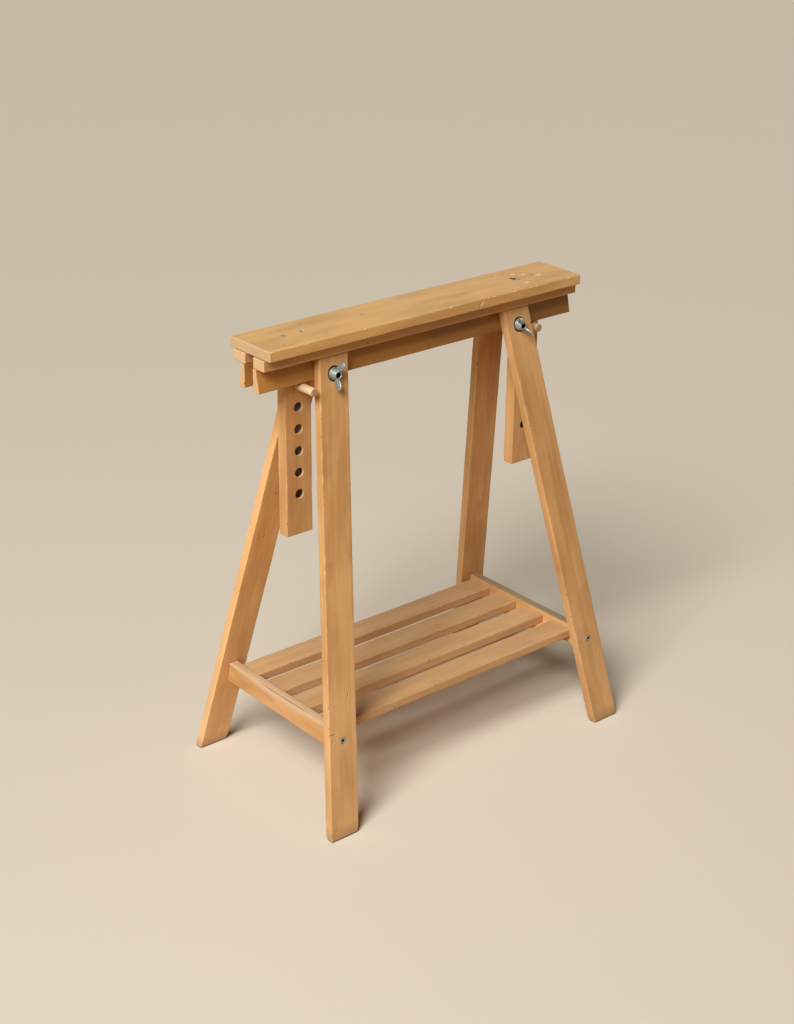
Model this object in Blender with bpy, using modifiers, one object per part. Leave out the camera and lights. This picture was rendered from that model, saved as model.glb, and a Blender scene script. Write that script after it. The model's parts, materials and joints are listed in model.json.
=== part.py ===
"""Work trestle: an adjustable wooden stand with a slatted shelf.

The top unit (board, two battens and two drilled posts) slides up and down between two wedge-shaped rails.
Four splayed legs are bolted to the rails, and two loose dowel pins hold the top unit at a chosen hole.
Metres, +Z up. The origin is on the floor under the middle of the board, and -Y is the front.
"""

import math
from collections import namedtuple

import bmesh
import bpy
from mathutils import Matrix, Vector

# Clearances
GAP = 0.0003                      # seam between two pieces that touch
SLIDE_CLEARANCE = 0.0006          # post to rail, on each side
PIN_CLEARANCE = 0.001             # pin to post hole, all round
BORE_CLEARANCE = 0.0003           # bolt or screw to its hole, all round
COUNTERBORE_CLEARANCE = 0.0009    # washer to counterbore, all round
OVERSHOOT = 0.004                 # how far a drill starts outside the wood

# Top unit
BOARD_LENGTH = 0.580
BOARD_WIDTH = 0.091
BOARD_THICKNESS = 0.015
BATTEN_OVERHANG = 0.002           # past each end of the board
BATTEN_WIDTH = 0.025
BATTEN_THICKNESS = 0.016
POST_INSET = 0.0728               # end of the board to the middle of a post
POST_WIDTH = 0.045
POST_THICKNESS = 0.0185
POST_LENGTH = 0.282
HOLE_PITCH = 0.0327
HOLE_END_MARGIN = 0.045           # least wood below the lowest hole's centre

# Pins
PIN_DIAMETER = 0.012
PIN_LENGTH = 0.080
PIN_BELOW_RAIL = 0.0015           # air between a stored pin and the rails above it
LEFT_PIN_FRONT = 0.0469           # how far the left pin's front end stands before the middle of the post
RIGHT_PIN_FRONT = 0.0349
PIN_END_ROUND = 0.001

# Frame
FRAME_HEIGHT = 0.674              # floor to the top of the rails and legs
RAIL_OVERHANG = 0.003             # past each end of the board
RAIL_HEIGHT = 0.0335
RAIL_TOP_WIDTH = 0.0063
SLOPE = math.radians(12.0)        # lean of the legs to the front and rear
SPLAY = math.radians(7.9)         # spread of the legs towards the ends
LEG_WIDTH = 0.049
LEG_THICKNESS = 0.014
PIN_TO_LEG = 0.0123               # finger room between a pin and the leg beside it

# Shelf
BAR_TOP = 0.153                   # floor to the top of the cross bars
BAR_HEIGHT = 0.033
BAR_THICKNESS = 0.014
BAR_ROUND = 0.004                 # rounding of the bar's upper outer edge
SLAT_COUNT = 4
SLAT_WIDTH = 0.0425
SLAT_THICKNESS = 0.014
SLAT_DROP = 0.0065                # slat tops below the bar tops
SLAT_FRONT_SPACE = 0.0165         # front legs to the first slat, at the height of the slat tops
SLAT_REAR_SPACE = 0.007           # rear legs to the last slat
LEDGER_WIDTH = 0.014
LEDGER_HEIGHT = 0.010
LEDGER_INSET = 0.014              # outer edge of the first and last slat to the end of a ledger

# Clamping bolts and wing nuts
BOLT_ABOVE_RAIL_BOTTOM = 0.0075
BOLT_DIAMETER = 0.008
BOLT_HEAD_DIAMETER = 0.018
BOLT_HEAD_HEIGHT = 0.0045
BOLT_END_INSET = 0.006            # bolt end below the mouth of the nut
WASHER_DIAMETER = 0.021
WASHER_THICKNESS = 0.0016
COUNTERBORE_DEPTH = 0.0045        # on the bolt's axis
HUB_BASE_DIAMETER = 0.0198
HUB_TOP_DIAMETER = 0.0125
HUB_HEIGHT = 0.012
WING_REACH = 0.0127               # bolt axis to the middle of a wing
WING_RISE = 0.0140                # nut base to the middle of a wing
WING_LENGTH = 0.0180
WING_BREADTH = 0.0125
WING_THICKNESS = 0.0042
WING_ROUND = 0.0014
WING_TILT = math.radians(45.0)    # wings flare away from the leg
LEFT_NUT_TURN = math.radians(12.0)    # wings from upright, clockwise seen from the front
RIGHT_NUT_TURN = math.radians(-38.0)

# Screws
BOARD_SCREW_EDGE = 0.007          # edge of the post to the screw
BOARD_SCREW_HEAD = 0.008
BOARD_SCREW_HEAD_HEIGHT = 0.003
BOARD_SCREW_SHANK = 0.004
BOARD_SCREW_BITE = 0.025          # screw into the post
LEG_SCREW_HEAD = 0.010
LEG_SCREW_HEAD_HEIGHT = 0.0035
LEG_SCREW_SHANK = 0.005
LEG_SCREW_BITE = 0.032            # screw into the cross bar
SLAT_SCREW_HEAD = 0.007
SLAT_SCREW_HEAD_HEIGHT = 0.0025
SLAT_SCREW_SHANK = 0.0035
SLAT_SCREW_BITE = 0.009           # screw into the slat
SOCKET_SHARE = 0.5                # width of a drive socket, of its screw's head
SOCKET_DEPTH_SHARE = 0.6          # depth of a drive socket, of its head's height

# Finish
WOOD_EASE = 0.0009                # eased edges of the wood
EASE_SEGMENTS = 2
BAR_ROUND_SEGMENTS = 4
DOME_STEPS = 5
ROUND_SIDES = 24
SCREW_SIDES = 12
HEX_SIDES = 6
SHARP_ANGLE = math.radians(35.0)
MERGE_DISTANCE = 1e-6

# Places that follow from the sizes above
RAIL_BOTTOM = FRAME_HEIGHT - RAIL_HEIGHT
BATTEN_BOTTOM = FRAME_HEIGHT + GAP
BOARD_BOTTOM = BATTEN_BOTTOM + BATTEN_THICKNESS + GAP
BOARD_TOP = BOARD_BOTTOM + BOARD_THICKNESS
POST_X = BOARD_LENGTH / 2 - POST_INSET
POST_TOP = BOARD_BOTTOM - GAP
POST_BOTTOM = POST_TOP - POST_LENGTH
HOLE_DIAMETER = PIN_DIAMETER + 2 * PIN_CLEARANCE
PIN_Z = RAIL_BOTTOM - PIN_BELOW_RAIL - PIN_DIAMETER / 2
FIRST_HOLE_Z = PIN_Z + PIN_CLEARANCE - GAP
HOLE_COUNT = 1 + int((FIRST_HOLE_Z - POST_BOTTOM - HOLE_END_MARGIN) / HOLE_PITCH)
BATTEN_INNER_Y = POST_THICKNESS / 2 + GAP
RAIL_INNER_Y = POST_THICKNESS / 2 + SLIDE_CLEARANCE
BOLT_Z = RAIL_BOTTOM + BOLT_ABOVE_RAIL_BOTTOM
BOLT_X = POST_X - PIN_DIAMETER / 2 - PIN_TO_LEG - LEG_WIDTH / 2
COUNTERBORE_DIAMETER = WASHER_DIAMETER + 2 * COUNTERBORE_CLEARANCE
BAR_MIDDLE = BAR_TOP - BAR_HEIGHT / 2
SLAT_TOP = BAR_TOP - SLAT_DROP
SLAT_BOTTOM = SLAT_TOP - SLAT_THICKNESS
LEDGER_TOP = SLAT_BOTTOM - GAP
LEDGER_BOTTOM = LEDGER_TOP - LEDGER_HEIGHT

LEFT, RIGHT = -1, 1
FRONT, REAR = -1, 1
SIDES = {"left": LEFT, "right": RIGHT}
FACES = {"front": FRONT, "rear": REAR}

Screw = namedtuple("Screw", "head head_height shank length")
BOARD_SCREW = Screw(BOARD_SCREW_HEAD, BOARD_SCREW_HEAD_HEIGHT, BOARD_SCREW_SHANK,
                    BOARD_THICKNESS + BOARD_SCREW_BITE)
LEG_SCREW = Screw(LEG_SCREW_HEAD, LEG_SCREW_HEAD_HEIGHT, LEG_SCREW_SHANK,
                  LEG_THICKNESS + LEG_SCREW_BITE)
SLAT_SCREW = Screw(SLAT_SCREW_HEAD, SLAT_SCREW_HEAD_HEIGHT, SLAT_SCREW_SHANK,
                   LEDGER_HEIGHT + SLAT_SCREW_BITE)


# Where the sloping pieces are at a given height

def rail_outer_y(z):
    """Distance from the middle plane to a rail's sloping outer face."""
    return RAIL_INNER_Y + RAIL_TOP_WIDTH + (FRAME_HEIGHT - z) * math.tan(SLOPE)


def leg_inner_y(z):
    """Distance from the middle plane to a leg's inner face."""
    return rail_outer_y(z) + GAP / math.cos(SLOPE)


def leg_outer_y(z):
    """Distance from the middle plane to a leg's outer face."""
    return leg_inner_y(z) + LEG_THICKNESS / math.cos(SLOPE)


def leg_centre_x(z):
    """Distance from the middle of the trestle to the middle of a leg's width."""
    return BOLT_X + (BOLT_Z - z) * math.tan(SPLAY) / math.cos(SLOPE)


def leg_directions(side, face):
    """Unit vectors across a leg's width, out of its broad face, and down along it."""
    sideways = Vector((side, 0, 0))
    down_slope = Vector((0, face * math.sin(SLOPE), -math.cos(SLOPE)))
    across = sideways * math.cos(SPLAY) - down_slope * math.sin(SPLAY)
    outward = Vector((0, face * math.cos(SLOPE), math.sin(SLOPE)))
    along = down_slope * math.cos(SPLAY) + sideways * math.sin(SPLAY)
    return across, outward, along


def slat_centres():
    """The y of each slat's middle, spread evenly between the front and rear legs."""
    room = leg_inner_y(SLAT_TOP)
    first = -room + SLAT_FRONT_SPACE + SLAT_WIDTH / 2
    last = room - SLAT_REAR_SPACE - SLAT_WIDTH / 2
    step = (last - first) / (SLAT_COUNT - 1)
    return [first + step * index for index in range(SLAT_COUNT)]


# Scene, materials and objects

def clear_scene():
    """Remove every object that is already in the scene."""
    for old in list(bpy.data.objects):
        bpy.data.objects.remove(old, do_unlink=True)


def new_collection(name):
    """Make a collection and link it to the scene."""
    collection = bpy.data.collections.new(name)
    bpy.context.scene.collection.children.link(collection)
    return collection


def new_material(name, colour, roughness, metallic=0.0):
    """Make a Principled BSDF material of one colour."""
    material = bpy.data.materials.new(name)
    material.use_nodes = True
    shader = material.node_tree.nodes["Principled BSDF"]
    shader.inputs["Base Color"].default_value = (*colour, 1.0)
    shader.inputs["Roughness"].default_value = roughness
    shader.inputs["Metallic"].default_value = metallic
    return material


def new_group(name, location):
    """Make an empty that carries the pieces of one unit."""
    group = bpy.data.objects.new(name, None)
    group.location = location
    pieces.objects.link(group)
    return group


def new_piece(name, shape, material, group, place):
    """Turn a bmesh into a named object of the trestle, placed in world space under its unit."""
    mesh = bpy.data.meshes.new(name)
    shape.to_mesh(mesh)
    shape.free()
    mesh.materials.append(material)
    piece = bpy.data.objects.new(name, mesh)
    pieces.objects.link(piece)
    piece.parent = group
    piece.matrix_parent_inverse = group.matrix_basis.inverted()
    piece.matrix_basis = place
    return piece


def new_cutter(name, shape):
    """Turn a bmesh in world space into a hidden cutter."""
    mesh = bpy.data.meshes.new(name)
    shape.to_mesh(mesh)
    shape.free()
    cutter = bpy.data.objects.new(name, mesh)
    cutter.hide_render = True
    cutter.display_type = "WIRE"
    cutters.objects.link(cutter)
    return cutter


def combine(piece, cutter, operation="DIFFERENCE"):
    """Cut a piece with a cutter, or join the cutter to it."""
    modifier = piece.modifiers.new(cutter.name, "BOOLEAN")
    modifier.operation = operation
    modifier.object = cutter


def ease_edges(piece, width=WOOD_EASE):
    """Round the edges of a wooden piece a little, as sanding does."""
    modifier = piece.modifiers.new("eased_edges", "BEVEL")
    modifier.width = width
    modifier.segments = EASE_SEGMENTS
    modifier.limit_method = "ANGLE"
    modifier.angle_limit = SHARP_ANGLE


def shade_round(piece):
    """Shade a turned piece smooth, with its real corners kept sharp."""
    piece.data.shade_smooth()
    piece.data.set_sharp_from_angle(angle=SHARP_ANGLE)


# Basic shapes

def at(x, y, z):
    """A place in world space, unturned."""
    return Matrix.Translation((x, y, z))


def box(length, width, height):
    """A box around the origin."""
    shape = bmesh.new()
    bmesh.ops.create_cube(shape, size=1.0)
    bmesh.ops.scale(shape, vec=(length, width, height), verts=shape.verts)
    return shape


def rod(start, end, diameter, sides=ROUND_SIDES):
    """A round bar, or with six sides a hexagonal one, from one point to another."""
    shape = bmesh.new()
    axis = end - start
    place = Matrix.Translation((start + end) / 2) @ axis.to_track_quat("Z", "Y").to_matrix().to_4x4()
    bmesh.ops.create_cone(shape, cap_ends=True, segments=sides, radius1=diameter / 2, radius2=diameter / 2,
                          depth=axis.length, matrix=place)
    return shape


def turned(profile, sides, hollow=False):
    """Spin an outline of (radius, height) points about Z; a hollow outline is a closed loop off the axis."""
    shape = bmesh.new()
    points = [shape.verts.new((radius, 0, height)) for radius, height in profile]
    pairs = list(zip(points, points[1:]))
    if hollow:
        pairs.append((points[-1], points[0]))
    lines = [shape.edges.new(pair) for pair in pairs]
    bmesh.ops.spin(shape, geom=points + lines, cent=(0, 0, 0), axis=(0, 0, 1), angle=math.tau,
                   steps=sides, use_merge=True)
    bmesh.ops.remove_doubles(shape, verts=shape.verts, dist=MERGE_DISTANCE)
    bmesh.ops.recalc_face_normals(shape, faces=shape.faces)
    return shape


def gathered(shapes):
    """Put several separate bodies into one mesh."""
    whole = bmesh.new()
    for shape in shapes:
        mesh = bpy.data.meshes.new("body")
        shape.to_mesh(mesh)
        shape.free()
        whole.from_mesh(mesh)
        bpy.data.meshes.remove(mesh)
    return whole


# Screws

def screw_body(screw):
    """A screw with its head's top at the origin, pointing down Z."""
    head_radius = screw.head / 2
    shank_radius = screw.shank / 2
    neck = -screw.head_height
    tip = -screw.length
    profile = [(0, 0), (head_radius, 0), (head_radius, neck), (shank_radius, neck),
               (shank_radius, tip + shank_radius), (0, tip)]
    return turned(profile, SCREW_SIDES)


def screw_drill(place, diameter, depth):
    """A drill that starts outside the wood and goes a depth below the screw's head."""
    start = place @ Vector((0, 0, OVERSHOOT))
    end = place @ Vector((0, 0, -depth))
    return rod(start, end, diameter + 2 * BORE_CLEARANCE, SCREW_SIDES)


def screw_cutters(name, places, screw):
    """The drills for a set of screws: one cutter for the shanks and one for the heads."""
    shanks = [screw_drill(place, screw.shank, screw.length + GAP) for place in places]
    heads = [screw_drill(place, screw.head, screw.head_height + GAP) for place in places]
    shank_cutter = new_cutter(f"{name}_shank_bores", gathered(shanks))
    head_cutter = new_cutter(f"{name}_head_bores", gathered(heads))
    return shank_cutter, head_cutter


def make_screws(name, places, screw, group):
    """A set of equal screws with hexagon sockets, each its own piece."""
    sockets = []
    for place in places:
        start = place @ Vector((0, 0, OVERSHOOT))
        end = place @ Vector((0, 0, -screw.head_height * SOCKET_DEPTH_SHARE))
        sockets.append(rod(start, end, screw.head * SOCKET_SHARE, HEX_SIDES))
    socket_cutter = new_cutter(f"{name}_sockets", gathered(sockets))
    for number, place in enumerate(places, start=1):
        piece = new_piece(f"{name}_{number}", screw_body(screw), steel, group, place)
        combine(piece, socket_cutter)
        shade_round(piece)


def board_screw_places():
    """Two screws above each post, heads just below the top of the board."""
    offset = POST_WIDTH / 2 - BOARD_SCREW_EDGE
    spots = [side * POST_X + shift for side in (LEFT, RIGHT) for shift in (-offset, offset)]
    return [at(x, 0, BOARD_TOP - GAP) for x in spots]


def leg_screw_places():
    """One screw through each leg, square to its outer face, into the middle of a bar's end."""
    places = []
    for side in (LEFT, RIGHT):
        for face in (FRONT, REAR):
            outward = leg_directions(side, face)[1]
            seat = Vector((side * bar_x, face * leg_inner_y(BAR_MIDDLE), BAR_MIDDLE))
            head = seat + outward * (LEG_THICKNESS - GAP)
            places.append(Matrix.Translation(head) @ outward.to_track_quat("Z", "Y").to_matrix().to_4x4())
    return places


def slat_screw_places():
    """One screw up through a ledger into each end of each slat."""
    turned_over = Matrix.Rotation(math.pi, 4, "X")
    return [at(side * ledger_x, y, LEDGER_BOTTOM + GAP) @ turned_over
            for side in (LEFT, RIGHT) for y in slat_centres()]


# Top unit

def make_top():
    """Board, battens, posts and the screws that hold the board on the posts."""
    places = board_screw_places()
    shank_bores, head_bores = screw_cutters("board_screw", places, BOARD_SCREW)

    board = new_piece("top_board", box(BOARD_LENGTH, BOARD_WIDTH, BOARD_THICKNESS), board_wood, top,
                      at(0, 0, BOARD_BOTTOM + BOARD_THICKNESS / 2))
    ease_edges(board)
    combine(board, shank_bores)
    combine(board, head_bores)

    batten_length = BOARD_LENGTH + 2 * BATTEN_OVERHANG
    batten_y = BATTEN_INNER_Y + BATTEN_WIDTH / 2
    for name, face in FACES.items():
        shape = box(batten_length, BATTEN_WIDTH, BATTEN_THICKNESS)
        batten = new_piece(f"batten_{name}", shape, frame_wood, top,
                           at(0, face * batten_y, BATTEN_BOTTOM + BATTEN_THICKNESS / 2))
        ease_edges(batten)

    holes = []
    for side in (LEFT, RIGHT):
        for index in range(HOLE_COUNT):
            centre = Vector((side * POST_X, 0, FIRST_HOLE_Z - index * HOLE_PITCH))
            reach = Vector((0, POST_THICKNESS / 2 + OVERSHOOT, 0))
            holes.append(rod(centre - reach, centre + reach, HOLE_DIAMETER))
    pin_holes = new_cutter("pin_holes", gathered(holes))
    for name, side in SIDES.items():
        post = new_piece(f"post_{name}", box(POST_WIDTH, POST_THICKNESS, POST_LENGTH), frame_wood, top,
                         at(side * POST_X, 0, POST_BOTTOM + POST_LENGTH / 2))
        ease_edges(post)
        combine(post, pin_holes)
        combine(post, shank_bores)

    make_screws("board_screw", places, BOARD_SCREW, top)


def make_pins():
    """The two dowel pins, each in the top hole of its post."""
    front_ends = {"left": LEFT_PIN_FRONT, "right": RIGHT_PIN_FRONT}
    for name, side in SIDES.items():
        half = Vector((0, PIN_LENGTH / 2, 0))
        pin = new_piece(f"pin_{name}", rod(-half, half, PIN_DIAMETER), pin_wood, top,
                        at(side * POST_X, PIN_LENGTH / 2 - front_ends[name], PIN_Z))
        ease_edges(pin, PIN_END_ROUND)
        shade_round(pin)


# Frame

def make_rails():
    """Two rails with an upright inner face and an outer face that lies along the legs."""
    middle = (FRAME_HEIGHT + RAIL_BOTTOM) / 2
    for name, face in FACES.items():
        shape = box(BOARD_LENGTH + 2 * RAIL_OVERHANG, 1.0, RAIL_HEIGHT)
        for vert in shape.verts:
            on_outer_face = vert.co.y * face > 0
            depth = rail_outer_y(middle + vert.co.z) - RAIL_INNER_Y
            vert.co.y = face * depth if on_outer_face else 0.0
        rail = new_piece(f"rail_{name}", shape, frame_wood, frame, at(0, face * RAIL_INNER_Y, middle))
        ease_edges(rail)
        combine(rail, bolt_bores)


def leg_shape(place):
    """A leg's plank, cut level at the floor and under the batten."""
    shape = box(LEG_WIDTH, LEG_THICKNESS, 2 * FRAME_HEIGHT)
    to_local = place.inverted()
    for height, outside in ((0.0, -1), (FRAME_HEIGHT, 1)):
        point = to_local @ Vector((0, 0, height))
        normal = to_local.to_3x3() @ Vector((0, 0, outside))
        whole = shape.verts[:] + shape.edges[:] + shape.faces[:]
        cut = bmesh.ops.bisect_plane(shape, geom=whole, plane_co=point, plane_no=normal, clear_outer=True)
        rim = [item for item in cut["geom_cut"] if isinstance(item, bmesh.types.BMEdge)]
        bmesh.ops.edgenet_fill(shape, edges=rim)
    bmesh.ops.recalc_face_normals(shape, faces=shape.faces)
    return shape


def make_legs(shank_bores, head_bores):
    """Four legs, drilled for the bolts and for the screws into the cross bars."""
    for face_name, face in FACES.items():
        for side_name, side in SIDES.items():
            across, outward, along = leg_directions(side, face)
            middle = FRAME_HEIGHT / 2
            centre = Vector((side * leg_centre_x(middle), face * leg_inner_y(middle), middle))
            centre += outward * LEG_THICKNESS / 2
            turn = Matrix((across, along.cross(across), along)).transposed().to_4x4()
            place = Matrix.Translation(centre) @ turn
            leg = new_piece(f"leg_{face_name}_{side_name}", leg_shape(place), frame_wood, frame, place)
            ease_edges(leg)
            for cutter in (bolt_bores, counterbores, shank_bores, head_bores):
                combine(leg, cutter)


def make_bars(shank_bores):
    """Two cross bars between the legs, with ends cut to the slope and a rounded upper outer edge."""
    for name, side in SIDES.items():
        shape = box(BAR_THICKNESS, 2.0, BAR_HEIGHT)
        for vert in shape.verts:
            half_length = leg_inner_y(BAR_MIDDLE + vert.co.z) - GAP
            vert.co.y *= half_length
        corner = [edge for edge in shape.edges if all(v.co.x * side > 0 and v.co.z > 0 for v in edge.verts)]
        bmesh.ops.bevel(shape, geom=corner, offset=BAR_ROUND, segments=BAR_ROUND_SEGMENTS, profile=0.5,
                        affect="EDGES")
        bar = new_piece(f"cross_bar_{name}", shape, frame_wood, frame, at(side * bar_x, 0, BAR_MIDDLE))
        ease_edges(bar)
        combine(bar, shank_bores)


def make_shelf():
    """Ledgers on the cross bars, slats across them, and the screws between the two."""
    places = slat_screw_places()
    shank_bores, head_bores = screw_cutters("slat_screw", places, SLAT_SCREW)
    centres = slat_centres()

    ledger_front = centres[0] - SLAT_WIDTH / 2 + LEDGER_INSET
    ledger_rear = centres[-1] + SLAT_WIDTH / 2 - LEDGER_INSET
    ledger_length = ledger_rear - ledger_front
    ledger_y = (ledger_front + ledger_rear) / 2
    for name, side in SIDES.items():
        shape = box(LEDGER_WIDTH, ledger_length, LEDGER_HEIGHT)
        ledger = new_piece(f"ledger_{name}", shape, frame_wood, frame,
                           at(side * ledger_x, ledger_y, LEDGER_BOTTOM + LEDGER_HEIGHT / 2))
        ease_edges(ledger)
        combine(ledger, shank_bores)
        combine(ledger, head_bores)

    slat_length = 2 * (bar_x - BAR_THICKNESS / 2 - GAP)
    for number, y in enumerate(centres, start=1):
        slat = new_piece(f"slat_{number}", box(slat_length, SLAT_WIDTH, SLAT_THICKNESS), slat_wood, frame,
                         at(0, y, SLAT_BOTTOM + SLAT_THICKNESS / 2))
        ease_edges(slat)
        combine(slat, shank_bores)

    make_screws("slat_screw", places, SLAT_SCREW, frame)


# Bolts, washers and wing nuts

def facing_front(x, y, turn=0.0):
    """A place on a bolt's axis whose Z points to the front and whose X is turned from upright."""
    wings = Vector((math.sin(turn), 0, math.cos(turn)))
    forward = Vector((0, -1, 0))
    rotation = Matrix((wings, forward.cross(wings), forward)).transposed().to_4x4()
    return at(x, y, BOLT_Z) @ rotation


def make_bolts():
    """Round-head bolts from the rear legs to the wing nuts."""
    radius = BOLT_DIAMETER / 2
    head_radius = BOLT_HEAD_DIAMETER / 2
    dome = []
    for step in range(DOME_STEPS + 1):
        angle = math.radians(90.0) * step / DOME_STEPS
        dome.append((head_radius * math.cos(angle), -BOLT_HEAD_HEIGHT * math.sin(angle)))
    reach = floor_y + GAP + nut_base_y + HUB_HEIGHT - BOLT_END_INSET
    profile = [(0, reach), (radius, reach), (radius, 0)] + dome
    for name, side in SIDES.items():
        bolt = new_piece(f"bolt_{name}", turned(profile, ROUND_SIDES), steel, frame,
                         facing_front(side * BOLT_X, floor_y + GAP))
        shade_round(bolt)


def make_washers():
    """A flat washer on the floor of each front counterbore."""
    inner = BOLT_DIAMETER / 2 + BORE_CLEARANCE
    outer = WASHER_DIAMETER / 2
    profile = [(inner, 0), (outer, 0), (outer, WASHER_THICKNESS), (inner, WASHER_THICKNESS)]
    for name, side in SIDES.items():
        washer = new_piece(f"washer_{name}", turned(profile, ROUND_SIDES, hollow=True), steel, frame,
                           facing_front(side * BOLT_X, -floor_y - GAP))
        shade_round(washer)


def wing_shape(direction):
    """One wing: a flat oval with a rounded rim that flares up and outwards."""
    shape = bmesh.new()
    bmesh.ops.create_cone(shape, cap_ends=True, segments=ROUND_SIDES, radius1=0.5, radius2=0.5,
                          depth=WING_THICKNESS)
    bmesh.ops.scale(shape, vec=(WING_LENGTH, WING_BREADTH, 1.0), verts=shape.verts)
    rims = [edge for edge in shape.edges if edge.verts[0].co.z * edge.verts[1].co.z > 0]
    bmesh.ops.bevel(shape, geom=rims, offset=WING_ROUND, segments=EASE_SEGMENTS, profile=0.5, affect="EDGES")
    upright = Matrix.Rotation(math.radians(90.0), 4, "X")
    flare = Matrix.Rotation(-direction * WING_TILT, 4, "Y")
    place = at(direction * WING_REACH, 0, WING_RISE) @ flare @ upright
    bmesh.ops.transform(shape, matrix=place, verts=shape.verts)
    return shape


def make_wing_nuts():
    """A conical hub with a bore and two wings, on each bolt."""
    bore = BOLT_DIAMETER / 2 + BORE_CLEARANCE
    base = HUB_BASE_DIAMETER / 2
    mouth = HUB_TOP_DIAMETER / 2
    profile = [(bore, 0), (base, 0), (mouth, HUB_HEIGHT), (bore, HUB_HEIGHT)]
    turns = {"left": LEFT_NUT_TURN, "right": RIGHT_NUT_TURN}
    for name, side in SIDES.items():
        place = facing_front(side * BOLT_X, -nut_base_y, turns[name])
        hub = turned(profile, ROUND_SIDES, hollow=True)
        nut = new_piece(f"wing_nut_{name}", hub, steel, frame, place)
        wings = gathered([wing_shape(-1), wing_shape(1)])
        bmesh.ops.transform(wings, matrix=place, verts=wings.verts)
        combine(nut, new_cutter(f"wings_{name}", wings), "UNION")
        shade_round(nut)


clear_scene()
pieces = new_collection("work_trestle")
cutters = new_collection("cutters")

board_wood = new_material("board_wood", (0.56, 0.36, 0.17), 0.5)
frame_wood = new_material("frame_wood", (0.52, 0.31, 0.13), 0.5)
slat_wood = new_material("slat_wood", (0.55, 0.37, 0.20), 0.55)
pin_wood = new_material("pin_wood", (0.62, 0.46, 0.27), 0.6)
steel = new_material("zinc_steel", (0.50, 0.50, 0.49), 0.35, 1.0)

frame = new_group("frame", (0, 0, 0))
top = new_group("top_unit", (0, 0, BATTEN_BOTTOM))

bar_x = leg_centre_x(BAR_MIDDLE)
ledger_x = bar_x - BAR_THICKNESS / 2 - GAP - LEDGER_WIDTH / 2
floor_y = leg_outer_y(BOLT_Z) - COUNTERBORE_DEPTH
nut_base_y = floor_y + GAP + WASHER_THICKNESS + GAP

through = Vector((0, leg_outer_y(BOLT_Z) + OVERSHOOT, 0))
bolt_axes = [Vector((side * BOLT_X, 0, BOLT_Z)) for side in (LEFT, RIGHT)]
bolt_bores = new_cutter("bolt_bores", gathered(
    rod(axis - through, axis + through, BOLT_DIAMETER + 2 * BORE_CLEARANCE) for axis in bolt_axes))
counterbore_end = Vector((0, leg_outer_y(BOLT_Z - COUNTERBORE_DIAMETER) + OVERSHOOT, 0))
counterbore_floor = Vector((0, floor_y, 0))
counterbores = new_cutter("counterbores", gathered(
    rod(axis + face * counterbore_floor, axis + face * counterbore_end, COUNTERBORE_DIAMETER)
    for axis in bolt_axes for face in (FRONT, REAR)))

make_top()
make_pins()
make_rails()
leg_places = leg_screw_places()
leg_shank_bores, leg_head_bores = screw_cutters("leg_screw", leg_places, LEG_SCREW)
make_legs(leg_shank_bores, leg_head_bores)
make_bars(leg_shank_bores)
make_screws("leg_screw", leg_places, LEG_SCREW, frame)
make_shelf()
make_bolts()
make_washers()
make_wing_nuts()
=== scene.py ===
# %% [markdown]
# # A wooden work trestle
# The trestle's construction is already settled: every plank, pin and bolt comes from a imported model, the
# frame. This lesson dresses that frame for a picture. Each plank gets worn edges and grain that runs along
# it, the fittings get rounder shapes, and light and a camera are set up like the photograph's.
# Load the frame first. The dressed trestle must not outgrow it.

# %% Load the frame
import json
import math
import random
from collections import namedtuple

import bmesh
import bpy
import numpy as np
from mathutils import Matrix, Vector, noise


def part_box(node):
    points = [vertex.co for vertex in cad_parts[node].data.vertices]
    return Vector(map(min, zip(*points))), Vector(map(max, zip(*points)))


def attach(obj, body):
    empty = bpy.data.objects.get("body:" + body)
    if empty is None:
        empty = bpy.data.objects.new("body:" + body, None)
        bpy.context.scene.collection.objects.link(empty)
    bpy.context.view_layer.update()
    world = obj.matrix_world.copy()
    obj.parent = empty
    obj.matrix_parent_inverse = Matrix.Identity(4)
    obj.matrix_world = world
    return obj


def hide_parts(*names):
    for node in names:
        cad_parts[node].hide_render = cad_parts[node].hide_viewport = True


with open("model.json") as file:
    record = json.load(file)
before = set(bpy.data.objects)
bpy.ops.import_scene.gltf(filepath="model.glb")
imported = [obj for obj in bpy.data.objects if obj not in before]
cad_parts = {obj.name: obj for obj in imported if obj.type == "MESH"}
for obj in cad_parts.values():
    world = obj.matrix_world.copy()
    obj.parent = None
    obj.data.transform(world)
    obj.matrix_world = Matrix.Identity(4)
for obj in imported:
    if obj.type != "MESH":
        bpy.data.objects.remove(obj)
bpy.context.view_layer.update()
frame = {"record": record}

# %% [markdown]
# ## The camera
# The photograph was taken from the front left and above, with a lens a little longer than normal.
# A camera can be aimed with a constraint, but a matrix built from three unit vectors is easier to follow:
# one vector points back from the subject to the camera, one to the right and one up.
# A small roll stands for the slight tilt of the real camera.

# %% Camera
IMAGE_HEIGHT = 1024
FOCAL_PIXELS = 1815.8
SENSOR_HEIGHT = 24.0
CAMERA_AZIMUTH = math.radians(-39.96)
CAMERA_ELEVATION = math.radians(24.03)
CAMERA_ROLL = math.radians(0.481)
CAMERA_PLACE = Vector((-1.6222, -1.9006, 1.4921))


def camera_matrix():
    """Where the camera stands and which way it looks."""
    level = math.cos(CAMERA_ELEVATION)
    back = Vector((math.sin(CAMERA_AZIMUTH) * level, -math.cos(CAMERA_AZIMUTH) * level,
                   math.sin(CAMERA_ELEVATION)))
    right = Vector((0, 0, 1)).cross(back).normalized()
    up = back.cross(right)
    tilted = Matrix((right, up, back)).transposed() @ Matrix.Rotation(CAMERA_ROLL, 3, "Z")
    return Matrix.Translation(CAMERA_PLACE) @ tilted.to_4x4()


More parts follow.
